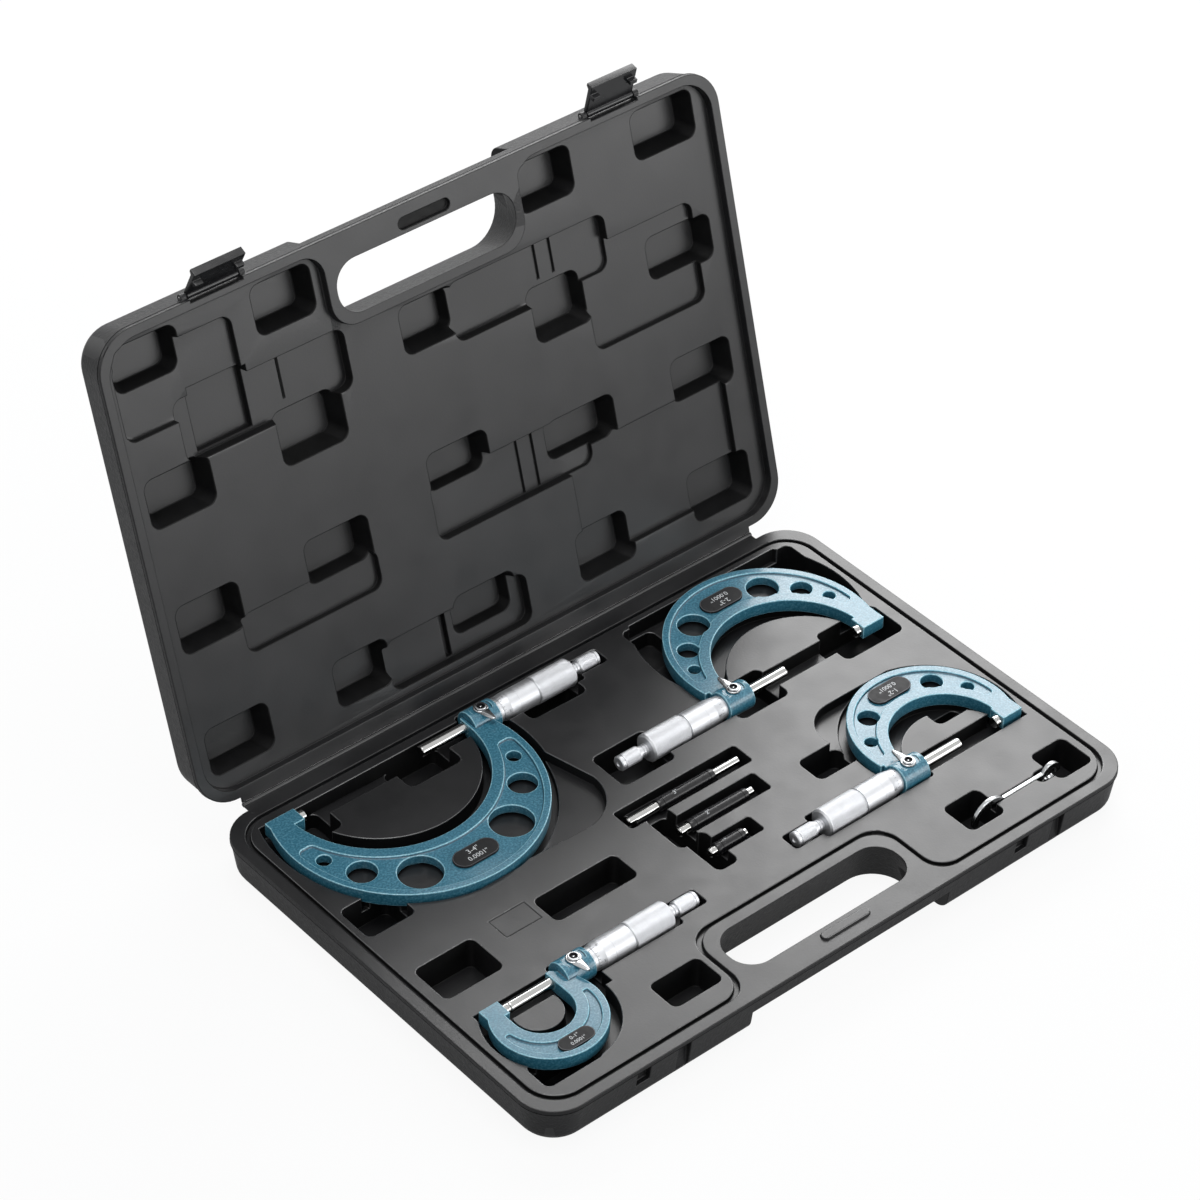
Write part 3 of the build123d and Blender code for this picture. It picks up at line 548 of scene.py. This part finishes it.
def shade_walls(piece, local, field, slotted=False):
    """Give the steep walls of the recesses, below the level field, the painted shade, and the
    floor of the locating slot too, where the piece has one."""
    mesh = piece.data
    for face in mesh.polygons:
        if face.material_index == 0:
            x, y, z = local(face.center)
            ahead = local(face.center + face.normal * MM)[2]
            inside = abs(x) < WALLS_HALF_WIDTH and abs(y) < WALLS_HALF_DEPTH
            if abs(ahead - z) < 0.6 and abs(z) > field and inside:
                face.material_index = 2
            if slotted and abs(x - BAR_X) < 16 and abs(y - BAR_Y) < 2.7 and z > 0.3:
                face.material_index = 2


def box(left, right, front, back):
    return [(left, front), (right, front), (right, back), (left, back)]


def corner_shelf(centre, ring, side, floor_line, corner, reach):
    """The outline of a nest's extra corner on the thimble side, outside the ring of the nest."""
    (cx, cy), (start, end) = centre, reach
    inner = [
        (cx + ring * cos(radians(a)), cy + ring * sin(radians(a)))
        for a in [start + (end - start) * i / 24 for i in range(25)]
    ]
    x_sign = 1 if side > cx else -1
    y_sign = 1 if floor_line > cy else -1
    mx, my = side - x_sign * corner, floor_line - y_sign * corner
    outer = [
        (mx + x_sign * corner * cos(a), my + y_sign * corner * sin(a))
        for a in [pi / 2 * i / 16 for i in range(17)]
    ]
    return inner + outer


BASE_CUTS = [
    (corner_shelf((-107.0, 92.0), 78.2, -23.6, 12.6, 28.0, (-82, -14)), 1.0, -6.2),
    (corner_shelf((140.0, -43.0), 48.7, 88.6, 5.2, 20.0, (98, 166)), 1.0, -6.2),
    (box(-134.0, -111.0, -23.0, -8.5), 1.0, -0.22),
]
LID_CUTS = [
    (box(-150.0, -116.5, -87.0, -51.5), -1.0, 14.6),
    (box(71.0, 72.2, -78.5, -57.0), -1.0, 12.0),
    (box(81.4, 82.6, -78.5, -57.0), -1.0, 12.0),
    (box(37.0, 38.2, 22.0, 55.0), -1.0, 12.0),
    (box(47.4, 48.6, 22.0, 55.0), -1.0, 12.0),
    (box(-31.0, -27.6, 95.5, 123.4), -1.0, 14.0),
    (box(-95.4, -94.4, -82.0, -58.0), -1.0, 11.2),
]


def base_back(x, y, z):
    return Vector((x, y, RIM + z)) * MM


def lid_back(x, y, z):
    """From the open lid's own rim directions, with depth counted into the lid, to space."""
    return Vector((
        x, HINGE_Y + (y - HINGE_Y) * cos(LID_OPEN) + z * sin(LID_OPEN),
        RIM - (y - HINGE_Y) * sin(LID_OPEN) + z * cos(LID_OPEN),
    )) * MM


# The base's rounded edges get a painted highlight and the feet of its walls a painted shade; the
# lid's edges get painted shade on both.
base_moulding = soften(
    "base_shell", "base_moulding", "case_base", case_black, 0.5, plates=True,
    cuts=BASE_CUTS, place=base_back, light_and_shade_tones=(case_highlight, case_shade),
)
lid_moulding = soften(
    "lid_shell", "lid_moulding", "lid", case_black, 0.5, plates=True,
    cuts=LID_CUTS, place=lid_back, light_and_shade_tones=(case_shade, case_shade),
)
grain_outside(base_moulding, base_place, 7.0, 22.0)
grain_outside(lid_moulding, lid_place, 5.6, 24.0)
shade_walls(base_moulding, base_place, 1.2)
shade_walls(lid_moulding, lid_place, 5.0, slotted=True)
for side in ("left", "right"):
    latch, pin = f"latch_{side}", f"latch_pin_{side}"
    soften(latch, f"{latch}_moulding", latch, latch_black, 0.45)
    soften(pin, f"{pin}_turned", "lid", pin_steel, 0.2)
soften("spanner", "spanner_pressed", "spanner", polished_chrome, 0.45)
for tool_name in TOOLS:
    # Frames: painted highlight on rounded edges, painted shade at the feet of walls.
    soften(
        f"{tool_name}_frame", f"{tool_name}_frame_cast", tool_name, frame_teal, 0.5,
        plates=True, light_and_shade_tones=(frame_highlight, frame_shade),
    )
    soften(
        f"{tool_name}_plate", f"{tool_name}_plate_enamelled", tool_name, plate_black, 0.15,
    )
    soften(
        f"{tool_name}_adjusting_nut", f"{tool_name}_adjusting_nut_turned", tool_name,
        satin_chrome, 0.25,
    )


# ---------------------------------------------------------------- mesh helpers
def along(tool):
    """Map a station along a micrometer's axis, a radius and an angle to a place."""
    (x, y), heading = tool["at"], tool["heading"]

    def place(s, r, a):
        t = r * cos(a)
        return Vector((x + heading * s, y + heading * t, RIM + r * sin(a))) * MM

    return place


def above(tool, s0, t0=0.0):
    """Map a height, a radius and an angle about an upright axis to a place."""
    (x, y), heading = tool["at"], tool["heading"]

    def place(h, r, a):
        s = s0 + r * cos(a)
        t = t0 + r * sin(a)
        return Vector((x + heading * s, y + heading * t, RIM + h)) * MM

    return place


def add_piece(name, points, faces, body, materials, marks=None, sharp=35, replaces=()):
    """Make a mesh piece that rides on a body, with its faces turned outwards."""
    mesh = bpy.data.meshes.new(name)
    mesh.from_pydata([tuple(p) for p in points], [], faces)
    for material in materials:
        mesh.materials.append(material)
    if marks:
        mesh.polygons.foreach_set("material_index", marks)
    work = bmesh.new()
    work.from_mesh(mesh)
    bmesh.ops.recalc_face_normals(work, faces=work.faces)
    work.to_mesh(mesh)
    work.free()
    mesh.shade_smooth()
    if sharp:
        mesh.set_sharp_from_angle(angle=radians(sharp))
    piece = bpy.data.objects.new(name, mesh)
    scene.collection.objects.link(piece)
    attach(piece, body)
    for node in replaces:
        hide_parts(node)
    return piece


def turned_mesh(place, rings, columns):
    """Spin rings of (station, radius, knurl depth, material). Knurled rings alternate in
    height from column to column, and split so that each high point is one diamond."""
    points, starts = [], []
    for j, (s, r, depth, _) in enumerate(rings):
        starts.append(len(points))
        if r == 0:
            points.append(place(s, 0, 0))
            continue
        for i in range(columns):
            low = depth if (i + j) % 2 else 0.0
            points.append(place(s, r - low, 2 * pi * i / columns))
    faces, marks = [], []
    for j in range(len(rings) - 1):
        mark = rings[j + 1][3]
        knurled = rings[j][2] or rings[j + 1][2]
        a, b = starts[j], starts[j + 1]
        for i in range(columns):
            k = (i + 1) % columns
            if rings[j][1] == 0:
                made = [(a, b + i, b + k)]
            elif rings[j + 1][1] == 0:
                made = [(a + i, a + k, b)]
            elif knurled and (i + j) % 2 == 0:
                made = [(a + i, a + k, b + i), (a + k, b + k, b + i)]
            elif knurled:
                made = [(a + i, b + k, b + i), (a + i, a + k, b + k)]
            else:
                made = [(a + i, a + k, b + k, b + i)]
            faces += made
            marks += [mark] * len(made)
    return points, faces, marks


def plain(*pairs, mark=0):
    return [(s, r, 0.0, mark) for s, r in pairs]


def knurl(start, end, radius, depth, columns, mark=0):
    """Rings of a diamond knurl whose diamonds are as long as they are wide."""
    pitch = 2 * pi * radius / columns
    count = 2 * max(1, round((end - start) / pitch / 2))
    step = (end - start) / count
    return [(start + j * step, radius, depth, mark) for j in range(count + 1)]


def lettering(name, text, height, place, body, material, turn=0.0):
    """Flat lettering, laid on a surface by a map from text place to space, in millimetres."""
    curve = bpy.data.curves.new(name, "FONT")
    curve.body = text
    curve.size = height
    curve.align_x = "CENTER"
    curve.align_y = "CENTER"
    curve.resolution_u = 3
    holder = bpy.data.objects.new(name + "_curve", curve)
    scene.collection.objects.link(holder)
    bpy.context.view_layer.update()
    mesh = bpy.data.meshes.new_from_object(
        holder.evaluated_get(bpy.context.evaluated_depsgraph_get())
    )
    bpy.data.objects.remove(holder)
    for vertex in mesh.vertices:
        p, q = vertex.co.x, vertex.co.y
        vertex.co = place(p * cos(turn) - q * sin(turn), p * sin(turn) + q * cos(turn))
    mesh.materials.clear()
    mesh.materials.append(material)
    piece = bpy.data.objects.new(name, mesh)
    scene.collection.objects.link(piece)
    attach(piece, body)
    return piece


def strips(name, lines, body, material):
    """Thin quads, each given by its four corners."""
    points, faces = [], []
    for corners in lines:
        faces.append(tuple(range(len(points), len(points) + 4)))
        points += corners
    return add_piece(name, points, faces, body, [material], sharp=0)


# ---------------------------------------------------------------- micrometers
def build_spindle(name, tool):
    place = along(tool)
    boss_end = tool["boss"] + BOSS_LENGTH
    end = boss_end + SLEEVE_EXPOSED + THIMBLE_LENGTH - THIMBLE_CAP
    start = tool["gap"]
    r = MEASURING_RADIUS
    rings = plain(
        (start, 0), (start, r - 0.55), (start + 0.05, r - 0.4), (start + 0.35, r - 0.05),
        (start + 0.7, r), (start + 1.4, r), (end, r), (end, 0),
    )
    points, faces, marks = turned_mesh(place, rings, 56)
    add_piece(
        f"{name}_spindle_ground", points, faces, f"{name}_spindle_body", [bright_steel],
        marks, 30, [f"{name}_spindle"],
    )


def build_anvil(name, tool):
    place = along(tool)
    r = MEASURING_RADIUS
    rings = plain(
        (0, 0), (0, r - 0.55), (-0.05, r - 0.4), (-0.35, r - 0.05), (-0.7, r),
        (-1.3, r), (-1.35, r - 0.2), (-1.6, r - 0.2), (-1.65, r), (-13.6, r), (-13.6, 0),
    )
    points, faces, marks = turned_mesh(place, rings, 56)
    add_piece(
        f"{name}_anvil_ground", points, faces, name, [bright_steel],
        marks, 30, [f"{name}_anvil"],
    )


def build_sleeve(name, tool):
    place = along(tool)
    start = tool["boss"] + BOSS_LENGTH
    end = start + SLEEVE_LENGTH
    r = SLEEVE_RADIUS
    bore = MEASURING_RADIUS + 0.12
    rings = plain(
        (start, bore), (start, r - 0.15), (start + 0.15, r - 0.02), (start + 0.8, r - 0.02),
        (start + 0.85, r - 0.14), (start + 1.0, r - 0.14), (start + 1.05, r - 0.02),
        (end - 0.2, r - 0.02), (end, r - 0.2), (end, bore), (start, bore),
    )
    points, faces, marks = turned_mesh(place, rings, 72)
    add_piece(
        f"{name}_sleeve_barrel", points, faces, name, [satin_chrome],
        marks, 30, [f"{name}_sleeve"],
    )
    lift = r + 0.015
    up = pi / 2
    width = 0.09
    lines = [[place(s, lift, a) for s, a in (
        (start + 0.2, up - width / r), (start + 0.2, up + width / r),
        (start + 9.0, up + width / r), (start + 9.0, up - width / r))]]
    for k in range(13):
        s = start + 0.3 + k * 0.635
        reach = 0.42 if k % 4 == 0 else 0.26
        lines.append([place(x, lift, a) for x, a in (
            (s - width, up), (s + width, up), (s + width, up + reach), (s - width, up + reach))])
    strips(f"{name}_sleeve_scale", lines, name, print_dark)


def build_thimble(name, tool):
    place = along(tool)
    start = tool["boss"] + BOSS_LENGTH + SLEEVE_EXPOSED
    end = start + THIMBLE_LENGTH
    knurl_start = start + THIMBLE_PLAIN
    r = THIMBLE_RADIUS
    k = KNURL_RADIUS
    edge = THIMBLE_BORE + 0.14
    bevel_end = start + 4.6
    columns = 120
    rings = plain(
        (start + 2.0, THIMBLE_BORE), (start, THIMBLE_BORE), (start, edge - 0.05),
        (start + 0.06, edge), (bevel_end, r - 0.06), (bevel_end + 0.1, r),
        (bevel_end + 5.9, r), (bevel_end + 5.95, r - 0.09), (bevel_end + 6.15, r - 0.09),
        (bevel_end + 6.2, r), (knurl_start - 0.9, r), (knurl_start - 0.8, r - 0.6),
        (knurl_start - 0.1, r - 0.6), (knurl_start - 0.05, r - 0.1),
        (knurl_start + 0.1, k - 0.34), (knurl_start + 0.5, k - 0.02),
    )
    rings += knurl(knurl_start + 0.7, end - 1.5, k, 0.15, columns, 1)
    rings += plain((end - 1.3, k - 0.02), (end - 0.9, k - 0.05), (end, k - 1.0), (end, 0))
    points, faces, marks = turned_mesh(place, rings, columns)
    add_piece(
        f"{name}_thimble_knurled", points, faces, f"{name}_thimble_body",
        [satin_chrome, knurl_chrome], marks, 22, [f"{name}_thimble"],
    )

    def radius_at(s):
        share = min(1.0, max(0.0, (s - start - 0.06) / (bevel_end - start - 0.06)))
        return edge + share * (r - 0.06 - edge) + 0.02

    lines = []
    for i in range(25):
        a = pi / 2 + 2 * pi * i / 25
        length = 1.9 if i % 5 == 0 else 1.2
        half = 0.085 / radius_at(start)
        s0, s1 = start + 0.1, start + 0.1 + length
        lines.append([
            place(s0, radius_at(s0), a - half), place(s0, radius_at(s0), a + half),
            place(s1, radius_at(s1), a + half), place(s1, radius_at(s1), a - half),
        ])
    strips(f"{name}_thimble_scale", lines, f"{name}_thimble_body", print_dark)
    for i in range(5):
        a = pi / 2 + 2 * pi * i / 5
        middle = start + 3.25

        def lay(p, q, a=a, middle=middle):
            s = middle + p
            radius = radius_at(s) + 0.005
            return place(s, radius, a - q / radius)

        lettering(
            f"{name}_thimble_figure_{i}", str(5 * i), 2.0, lay,
            f"{name}_thimble_body", print_dark, 0.0,
        )


def build_ratchet(name, tool):
    place = along(tool)
    start = tool["boss"] + BOSS_LENGTH + SLEEVE_EXPOSED + THIMBLE_LENGTH
    neck_end = start + NECK_LENGTH
    end = neck_end + RATCHET_LENGTH
    n, r = NECK_RADIUS, RATCHET_RADIUS
    rings = plain(
        (start, 0), (start, n - 0.2), (start + 0.2, n), (start + 1.2, n), (start + 1.3, n - 0.35),
        (start + 1.9, n - 0.35), (start + 2.0, n), (start + 3.0, n), (start + 3.1, n - 0.35),
        (start + 3.7, n - 0.35), (start + 3.8, n), (neck_end, n), (neck_end, r - 0.35),
        (neck_end + 0.35, r - 0.04), (neck_end + 1.1, r - 0.04),
    )
    rings += knurl(neck_end + 1.3, end - 3.2, r, 0.13, 64, 1)
    rings += plain(
        (end - 3.0, r - 0.04), (end - 2.6, r - 0.04), (end - 2.5, r - 0.35), (end - 2.0, r - 0.35),
        (end - 1.9, r - 0.04), (end - 0.6, r - 0.04), (end - 0.1, r - 0.5), (end, r - 0.8),
        (end, 1.7), (end - 0.5, 1.2), (end - 0.5, 0),
    )
    points, faces, marks = turned_mesh(place, rings, 64)
    add_piece(
        f"{name}_ratchet_knurled", points, faces, f"{name}_ratchet_body",
        [satin_chrome, knurl_chrome], marks, 22, [f"{name}_ratchet"],
    )


def build_lock(name, tool):
    """The clamp: a ring with a tapering, crowned lever, held by a screw with a sunk head."""
    s0 = tool["boss"] + SCREW_SETBACK
    place = above(tool, s0)
    bottom = FLAT_HEIGHT + 0.1
    top = bottom + 1.1
    ring = [
        (bottom, 1.46), (bottom, 3.9), (bottom + 0.2, 4.15), (top - 0.45, 4.15),
        (top - 0.15, 4.0), (top - 0.02, 3.7), (top, 3.4), (top, 1.46), (bottom, 1.46),
    ]
    rings = [(h, r, 0.0, 0) for h, r in ring]
    points, faces, marks = turned_mesh(place, rings, 48)
    (x, y), heading = tool["at"], tool["heading"]
    stations, around = 20, 14
    first = len(points)
    for j in range(stations + 1):
        share = j / stations
        d = 1.8 + share * 10.0
        bend = 0.4 * share ** 2
        half = 3.3 - 2.15 * share ** 1.1
        if share > 0.84:
            half *= sqrt(max(0.0, 1 - ((share - 0.84) / 0.16) ** 2)) * 0.95 + 0.05
        rise = 1.0 + 0.3 * sin(pi * share)
        for i in range(around + 1):
            a = pi * i / around
            s = s0 + bend + half * cos(a)
            h = bottom + 0.08 + rise * sin(a) ** 0.8
            points.append(Vector((x + heading * s, y - heading * d, RIM + h)) * MM)
    row = around + 1
    for j in range(stations):
        for i in range(around):
            a = first + j * row + i
            faces.append((a, a + 1, a + row + 1, a + row))
        a = first + j * row
        faces.append((a, a + row, a + row + around, a + around))
    faces.append(tuple(range(first, first + row)))
    faces.append(tuple(range(first + stations * row, first + (stations + 1) * row)))
    add_piece(
        f"{name}_lock_lever_crowned", points, faces, f"{name}_lock_body", [polished_chrome],
        None, 40, [f"{name}_lock_lever"],
    )
    low = FLAT_HEIGHT - 3.2
    head = top + 0.05
    full = head + 0.9
    # Rings marked 1 form the socket, coloured with the painted shade.
    rings = [
        (low, 0.0, 0.0, 0), (low, 1.4, 0.0, 0), (head, 1.4, 0.0, 0), (head, 2.95, 0.0, 0),
        (head + 0.25, 3.18, 0.0, 0), (full - 0.35, 3.18, 0.0, 0), (full - 0.1, 3.0, 0.0, 0),
        (full, 2.7, 0.0, 0), (full - 0.02, 2.3, 0.0, 0), (full - 0.16, 2.15, 0.0, 1),
        (full - 0.22, 1.75, 0.0, 1), (full - 0.85, 1.6, 0.0, 1), (full - 0.85, 0.62, 0.0, 1),
        (full - 0.5, 0.55, 0.0, 0), (full - 0.38, 0.35, 0.0, 0), (full - 0.36, 0.0, 0.0, 0),
    ]
    points, faces, marks = turned_mesh(place, rings, 48)
    add_piece(
        f"{name}_lock_screw_socket", points, faces, name, [polished_chrome, painted_socket_shade],
        marks, 30, [f"{name}_lock_screw"],
    )


def build_plate_print(name, tool):
    """The light rim and two lines of figures on the plate let into the frame."""
    (x, y), heading = tool["at"], tool["heading"]
    across, width, height = tool["plate"]
    middle = tool["bow"]
    lift = FRAME_HALF + 0.015

    def lay(p, q, up=lift):
        return Vector((x + heading * (middle + p), y + heading * (across + q), RIM + up)) * MM

    outer, inner, count = height / 2 - 0.2, height / 2 - 0.45, 20
    straight = width / 2 - height / 2
    points, faces = [], []
    for i in range(2 * count):
        a = pi / 2 - pi * (i % count) / (count - 1) + (pi if i >= count else 0)
        side = -1 if i >= count else 1
        for radius in (outer, inner):
            points.append(lay(side * straight + radius * cos(a), radius * sin(a)))
    total = len(points)
    for i in range(0, total, 2):
        k = (i + 2) % total
        faces.append((i, i + 1, k + 1, k))
    add_piece(f"{name}_plate_rim", points, faces, name, [rim_grey], None, 0, ())
    first, second = tool["lines"]
    size = height * 0.36
    lettering(
        f"{name}_plate_range", first, size, lambda p, q: lay(p, q + height * 0.19),
        name, print_light, 0.0,
    )
    lettering(
        f"{name}_plate_division", second, size * 0.92, lambda p, q: lay(p, q - height * 0.19),
        name, print_light, 0.0,
    )


for tool_name, tool in TOOLS.items():
    build_spindle(tool_name, tool)
    build_anvil(tool_name, tool)
    build_sleeve(tool_name, tool)
    build_thimble(tool_name, tool)
    build_ratchet(tool_name, tool)
    build_lock(tool_name, tool)
    build_plate_print(tool_name, tool)


# ---------------------------------------------------------------- crease hinge
def build_crease():
    """The thin web between the two shells, as a straight round rod on the base along the hinge
    line.
    """
    def place(s, r, a):
        return Vector((s, HINGE_Y + r * cos(a), RIM + r * sin(a))) * MM

    rings = plain(
        (CREASE_LEFT, 0), (CREASE_LEFT, CREASE_RADIUS),
        (CREASE_RIGHT, CREASE_RADIUS), (CREASE_RIGHT, 0),
    )
    points, faces, marks = turned_mesh(place, rings, 24)
    add_piece("crease_web", points, faces, "case_base", [case_black], marks, 30, ())


build_crease()


def build_pocket_wall():
    """The wall between the lid's handle bay and the pocket beside it."""
    sides, ends, depths = (66.95, 67.6), (-122.0, -107.5), (10.5, 19.0)
    points = [lid_back(x, y, z) for x in sides for y in ends for z in depths]
    faces = [(0, 1, 3, 2), (4, 6, 7, 5), (0, 4, 5, 1), (2, 3, 7, 6), (0, 2, 6, 4), (1, 5, 7, 3)]
    # The wall takes the painted shade of the recess walls.
    add_piece("lid_pocket_wall", points, faces, "lid", [case_shade], None, 35, ())


build_pocket_wall()


# ---------------------------------------------------------------- setting standards
def build_standard(name, standard):
    x, y = standard["at"]
    length = standard["length"]
    shift, grip = standard["grip"]

    def place(s, r, a):
        return Vector((x + s, y + r * cos(a), RIM - STANDARD_DROP + r * sin(a))) * MM

    h, r = length / 2, ROD_RADIUS
    rings = plain(
        (-h, 0), (-h, r - 0.75), (-h + 0.15, r - 0.5), (-h + 0.6, r - 0.06), (-h + 0.9, r),
        (h - 0.9, r), (h - 0.6, r - 0.06), (h - 0.15, r - 0.5), (h, r - 0.75), (h, 0),
    )
    points, faces, marks = turned_mesh(place, rings, 56)
    add_piece(
        f"{name}_rod_ground", points, faces, name, [bright_steel],
        marks, 30, [f"{name}_rod"],
    )
    low, high, g = shift - grip / 2, shift + grip / 2, GRIP_RADIUS
    rings = plain(
        (low, r + 0.02), (low, g - 0.5), (low + 0.12, g - 0.2), (low + 0.5, g),
        (low + 3.0, g), (low + 3.1, g - 0.22), (low + 3.6, g - 0.22), (low + 3.7, g),
        (high - 3.7, g), (high - 3.6, g - 0.22), (high - 3.1, g - 0.22), (high - 3.0, g),
        (high - 0.5, g), (high - 0.12, g - 0.2), (high, g - 0.5), (high, r + 0.02),
        (low, r + 0.02),
    )
    points, faces, marks = turned_mesh(place, rings, 56)
    add_piece(
        f"{name}_grip_moulded", points, faces, name, [grip_black],
        marks, 30, [f"{name}_grip"],
    )
    middle = shift - grip * 0.18

    def lay(p, q):
        return place(middle + p, g + 0.015, pi / 2 + 0.15 - q / g)

    lettering(f"{name}_grip_figure", standard["mark"], 3.4, lay, name, print_light, 0.0)


for standard_name, standard in STANDARDS.items():
    build_standard(standard_name, standard)


# ---------------------------------------------------------------- stage, light and camera
def build_stage():
    mesh = bpy.data.meshes.new("studio_floor")
    reach = 8.0
    mesh.from_pydata(
        [(x, y, -0.0002) for x, y in
         ((-reach, -reach), (reach, -reach), (reach, reach), (-reach, reach))],
        [], [(0, 1, 2, 3)],
    )
    floor = bpy.data.objects.new("studio_floor", mesh)
    scene.collection.objects.link(floor)
    material = bpy.data.materials.new("studio_floor_white")
    material.use_nodes = True
    tree = material.node_tree
    shader = tree.nodes["Principled BSDF"]
    shader.inputs["Roughness"].default_value = 0.9
    rays = tree.nodes.new("ShaderNodeLightPath")
    paper = tree.nodes.new("ShaderNodeMix")
    paper.data_type = "RGBA"
    paper.inputs["A"].default_value = (0.26, 0.26, 0.26, 1)
    paper.inputs["B"].default_value = (0.80, 0.80, 0.80, 1)
    tree.links.new(rays.outputs["Is Camera Ray"], paper.inputs["Factor"])
    tree.links.new(paper.outputs["Result"], shader.inputs["Base Color"])
    seen = tree.nodes.new("ShaderNodeMath")
    seen.operation = "MAXIMUM"
    tree.links.new(rays.outputs["Is Camera Ray"], seen.inputs[0])
    tree.links.new(rays.outputs["Is Transmission Ray"], seen.inputs[1])
    share = tree.nodes.new("ShaderNodeMath")
    share.operation = "MULTIPLY"
    share.inputs[1].default_value = 0.92
    tree.links.new(seen.outputs[0], share.inputs[0])
    mirrored = tree.nodes.new("ShaderNodeMath")
    mirrored.operation = "MULTIPLY_ADD"
    mirrored.inputs[1].default_value = 0.25
    tree.links.new(rays.outputs["Is Glossy Ray"], mirrored.inputs[0])
    tree.links.new(share.outputs[0], mirrored.inputs[2])
    white = tree.nodes.new("ShaderNodeEmission")
    white.inputs["Color"].default_value = (1, 1, 1, 1)
    white.inputs["Strength"].default_value = 1.0
    mix = tree.nodes.new("ShaderNodeMixShader")
    output = tree.nodes["Material Output"]
    tree.links.new(mirrored.outputs[0], mix.inputs["Fac"])
    tree.links.new(shader.outputs["BSDF"], mix.inputs[1])
    tree.links.new(white.outputs["Emission"], mix.inputs[2])
    tree.links.new(mix.outputs["Shader"], output.inputs["Surface"])
    mesh.materials.append(material)


def build_world():
    world = bpy.data.worlds.new("studio")
    scene.world = world
    world.use_nodes = True
    tree = world.node_tree
    background = tree.nodes["Background"]
    background.inputs["Color"].default_value = (0.86, 0.93, 1.0, 1)
    background.inputs["Strength"].default_value = 0.30
    bright = tree.nodes.new("ShaderNodeBackground")
    bright.inputs["Color"].default_value = (1, 1, 1, 1)
    bright.inputs["Strength"].default_value = 1.0
    rays = tree.nodes.new("ShaderNodeLightPath")
    seen = tree.nodes.new("ShaderNodeMath")
    seen.operation = "MAXIMUM"
    mix = tree.nodes.new("ShaderNodeMixShader")
    both = tree.nodes.new("ShaderNodeMath")
    both.operation = "MAXIMUM"
    tree.links.new(rays.outputs["Is Camera Ray"], seen.inputs[0])
    tree.links.new(rays.outputs["Is Transmission Ray"], seen.inputs[1])
    tree.links.new(seen.outputs[0], both.inputs[0])
    tree.links.new(rays.outputs["Is Glossy Ray"], both.inputs[1])
    tree.links.new(both.outputs[0], mix.inputs["Fac"])
    tree.links.new(background.outputs["Background"], mix.inputs[1])
    tree.links.new(bright.outputs["Background"], mix.inputs[2])
    tree.links.new(mix.outputs["Shader"], tree.nodes["World Output"].inputs["Surface"])


def area_light(name, at, aim, size, power, colour=(1, 1, 1)):
    light = bpy.data.lights.new(name, "AREA")
    light.shape = "RECTANGLE"
    light.size, light.size_y = size
    light.energy = power
    light.color = colour
    lamp = bpy.data.objects.new(name, light)
    scene.collection.objects.link(lamp)
    lamp.location = at
    lamp.rotation_euler = (Vector(aim) - Vector(at)).to_track_quat("-Z", "Y").to_euler()


def build_camera():
    camera = bpy.data.cameras.new("photo_view")
    camera.sensor_width = 36.0
    camera.lens = 124.04
    camera.clip_start = 0.05
    camera.clip_end = 50.0
    holder = bpy.data.objects.new("photo_view", camera)
    scene.collection.objects.link(holder)
    at, aim = Vector((-1.0698, -1.16305, 1.46538)), Vector((0.07205, 0.14776, 0.025))
    look = (aim - at).to_track_quat("-Z", "Y").to_matrix().to_4x4()
    holder.matrix_world = Matrix.Translation(at) @ look @ Matrix.Rotation(radians(1.044), 4, "Z")
    scene.camera = holder


build_stage()
build_world()
area_light("back_key", (1.02, 1.02, 1.0), (0.08, 0.0, 0.03), (1.35, 0.9), 24)
area_light("front_panel", (0.78, -1.2, 0.36), (0.0, 0.17, 0.16), (1.3, 0.66), 9)
area_light("overhead_soft", (0.0, 0.0, 1.9), (0.0, 0.0, 0.05), (0.9, 0.9), 12)
area_light("left_key", (-1.2, -0.6, 1.3), (0.0, 0.0, 0.05), (0.5, 0.5), 5)
build_camera()
scene.view_settings.view_transform = "Standard"
